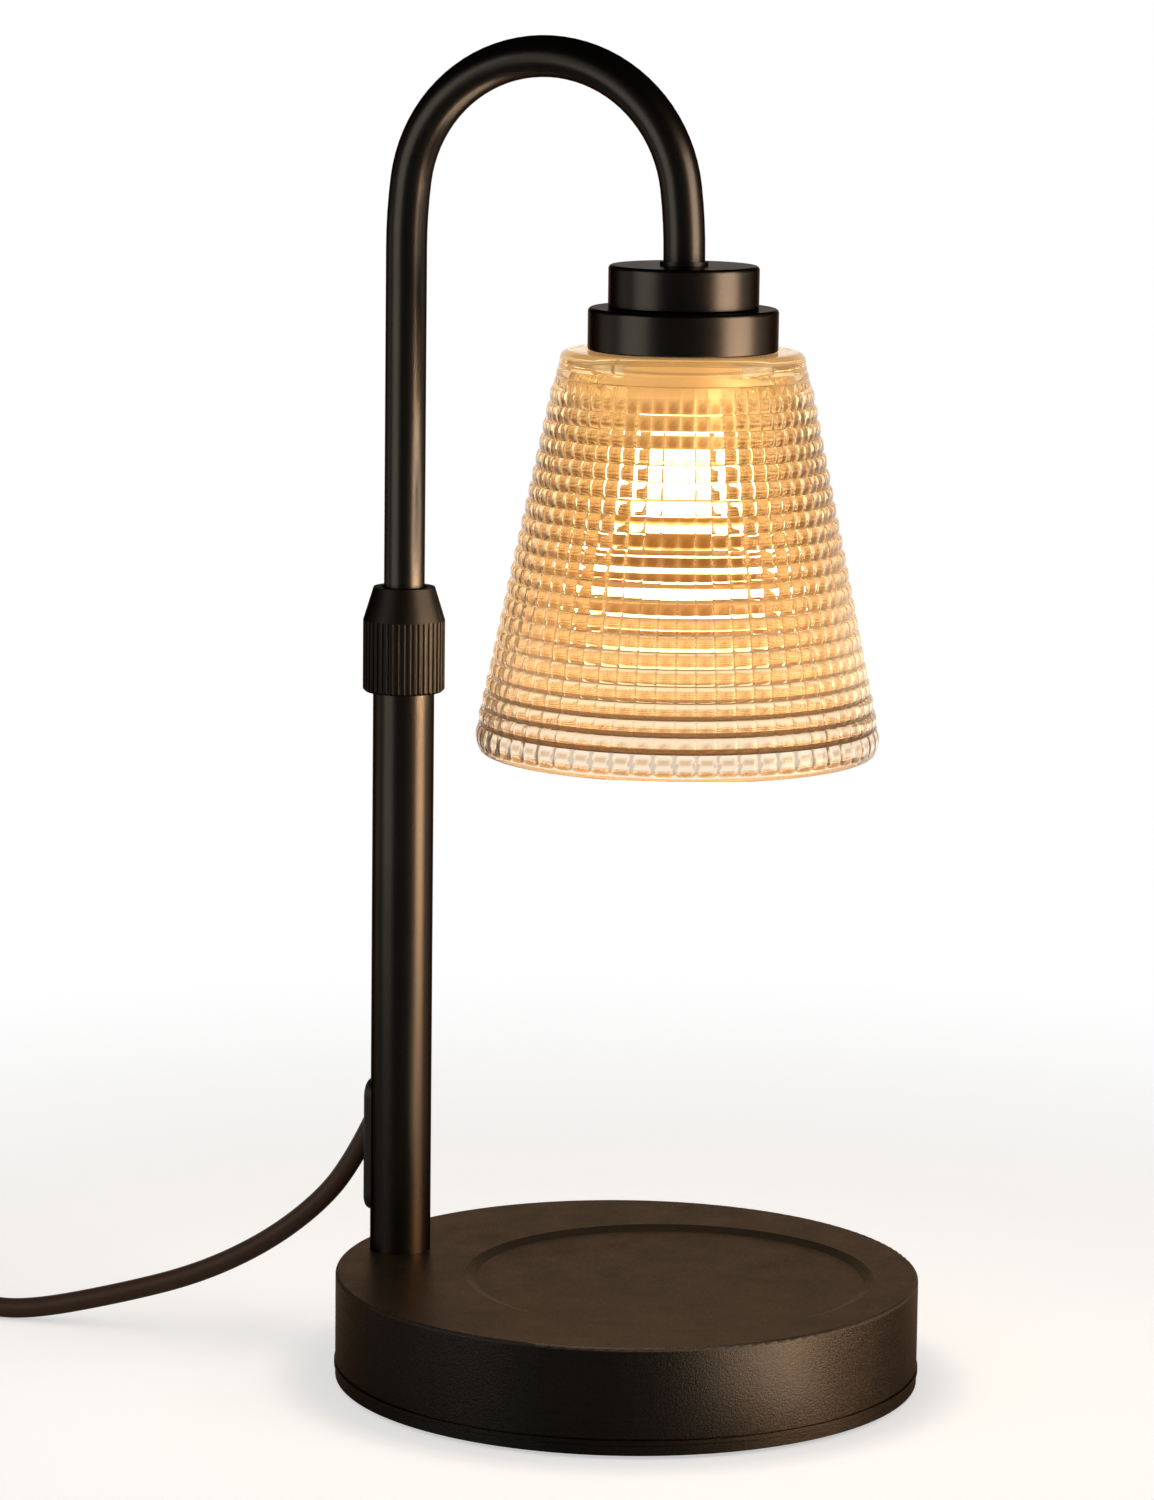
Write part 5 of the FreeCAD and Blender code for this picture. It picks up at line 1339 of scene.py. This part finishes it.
    def set_room(self) -> None:
        """Soft light from all round, and a white wall where the room is looked at.

        Gloss sees a wall behind the lamp that ends in a dim ceiling. Glass sees white
        panels with dim gaps between them and a dim top.
        """
        world = bpy.data.worlds.new("room")
        bpy.context.scene.world = world
        world.use_nodes = True
        world.cycles.sampling_method = "NONE"
        world.node_tree.nodes.clear()
        chart = Chart(world.node_tree)
        path, looked_at = self.looked_at(chart)
        way = chart.coordinate("Generated")
        parts = chart.parts(way)
        wall = chart.spread(chart.along(way, self.ahead), *self.wall_rises,
                            self.room_front, self.room_back, Curve.SMOOTH)
        ceiling = chart.spread(parts[2], *self.ceiling_rises, 1.0, self.ceiling_level, Curve.SMOOTH)
        azimuth = chart.maths("ARCTAN2", parts[1], parts[0])
        round_about = chart.times(chart.plus(azimuth, self.heading - math.pi / 2.0), self.gap_count)
        panel = chart.spread(chart.maths("COSINE", round_about), *self.gap_closes, self.gap_level, 1.0,
                             Curve.SMOOTH)
        above = chart.spread(parts[2], *self.panel_ends, 1.0, self.gap_level, Curve.SMOOTH)
        mirrored = chart.times(path["Is Glossy Ray"], chart.times(wall, ceiling))
        through = chart.times(path["Is Transmission Ray"], chart.times(panel, above))
        seen = chart.plus(path["Is Camera Ray"], chart.plus(mirrored, through))
        soft = chart.add("Background", None, {0: self.room_colour, 1: self.room_level})
        white = chart.add("Background", None, {0: WHITE, 1: seen})
        mixed = chart.mix_shaders(looked_at, soft, white)
        chart.add("OutputWorld", None, {0: mixed.outputs[0]})
        LOG.info("room set")

    def soft_box(self, name: str, size: Span, power: float, colour: Colour,
                 stand: Matrix) -> bpy.types.Object:
        """A soft rectangular light that doesn't show through glass.

        Args:
            name: The light's name.
            size: Its width and height.
            power: Its power in watts.
            colour: Its colour.
            stand: Its place and turn.

        Returns:
            The light.
        """
        data = bpy.data.lights.new(name, "AREA")
        data.shape = "RECTANGLE"
        data.size, data.size_y = size
        data.energy, data.color = power, colour
        light = show(bpy.data.objects.new(name, data))
        light.matrix_world = stand
        light.visible_transmission = False
        return light

    def hang_light(self, name: str, turn: float, reach: float, height: float, size: Span,
                   power: float, colour: Colour) -> bpy.types.Object:
        """Hangs a soft box and points it at the lamp.

        Args:
            name: The light's name.
            turn: Degrees to the right of the camera, seen from the lamp.
            reach: Level distance from the lamp.
            height: Height above the floor.
            size: Width and height of the box.
            power: Its power in watts.
            colour: Its colour.

        Returns:
            The light.
        """
        angle = math.radians(turn) - self.heading - math.pi / 2.0
        place = Vector((reach * math.cos(angle), reach * math.sin(angle), height))
        aim = (Vector(self.target) - place).to_track_quat("-Z", "Y").to_matrix().to_4x4()
        return self.soft_box(name, size, power, colour, Matrix.Translation(place) @ aim)

    def lay_card(self, name: str, centre: Span, size: Span, power: float) -> bpy.types.Object:
        """Lays a small warm card face up just over the floor.

        Args:
            name: The light's name.
            centre: Its middle on the floor.
            size: Its length and width.
            power: Its power in watts.

        Returns:
            The light.
        """
        stand = Matrix.Translation((*centre, self.card_level)) @ Matrix.Rotation(math.pi, 4, "X")
        light = self.soft_box(name, size, power, self.card_colour, stand)
        light.visible_camera = False
        return light

    def set_lights(self) -> None:
        """Soft boxes at both sides, three cards that only gloss shows, and the bulb's own light."""
        # name, degrees to the right, reach, height, size, watts, colour
        self.hang_light("right_box", 68.0, 0.5, 0.33, (0.36, 0.34), 0.8, (1.0, 0.84, 0.68))
        cards = (
            self.hang_light("right_card", 68.0, 0.49, 0.33, (0.36, 0.34), 2.0, (1.0, 0.82, 0.66)),
            self.hang_light("low_card", 69.0, 0.42, 0.10, (0.26, 0.26), 3.3, (1.0, 0.65, 0.39)),
            self.lay_card("floor_card", (0.170, -0.080), (0.15, 0.08), 0.22),
        )
        for card in cards:
            card.visible_diffuse = False
        self.hang_light("left_box", -61.0, 0.6, 0.25, (0.40, 0.5), 1.0, (1.0, 0.97, 0.90))
        data = bpy.data.lights.new("bulb_light", "POINT")
        data.energy, data.color = self.bulb_power, self.bulb_colour
        data.shadow_soft_size = self.bulb_softness
        light = show(bpy.data.objects.new("bulb_light", data))
        light.location = self.bulb_place
        light.visible_transmission = False
        LOG.info("lights set")

    def set_view(self) -> None:
        """The plain view transform."""
        bpy.context.scene.view_settings.view_transform = "Standard"


def main() -> None:
    """Builds the studio and the lamp's looks in order."""
    logging.basicConfig(level=logging.INFO, format="%(name)s: %(message)s")
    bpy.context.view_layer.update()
    studio = Studio()
    studio.set_camera()
    finishes = Finishes()
    finishes.dress_nodes()
    MainsCord().dress(finishes)
    SpareLead().dress(finishes)
    PressedShade().dress(finishes)
    ReflectorBulb().dress()
    studio.lay_floor()
    studio.set_room()
    studio.set_lights()
    studio.set_view()
    LOG.info("boxes written")


if __name__ == "__main__":
    main()
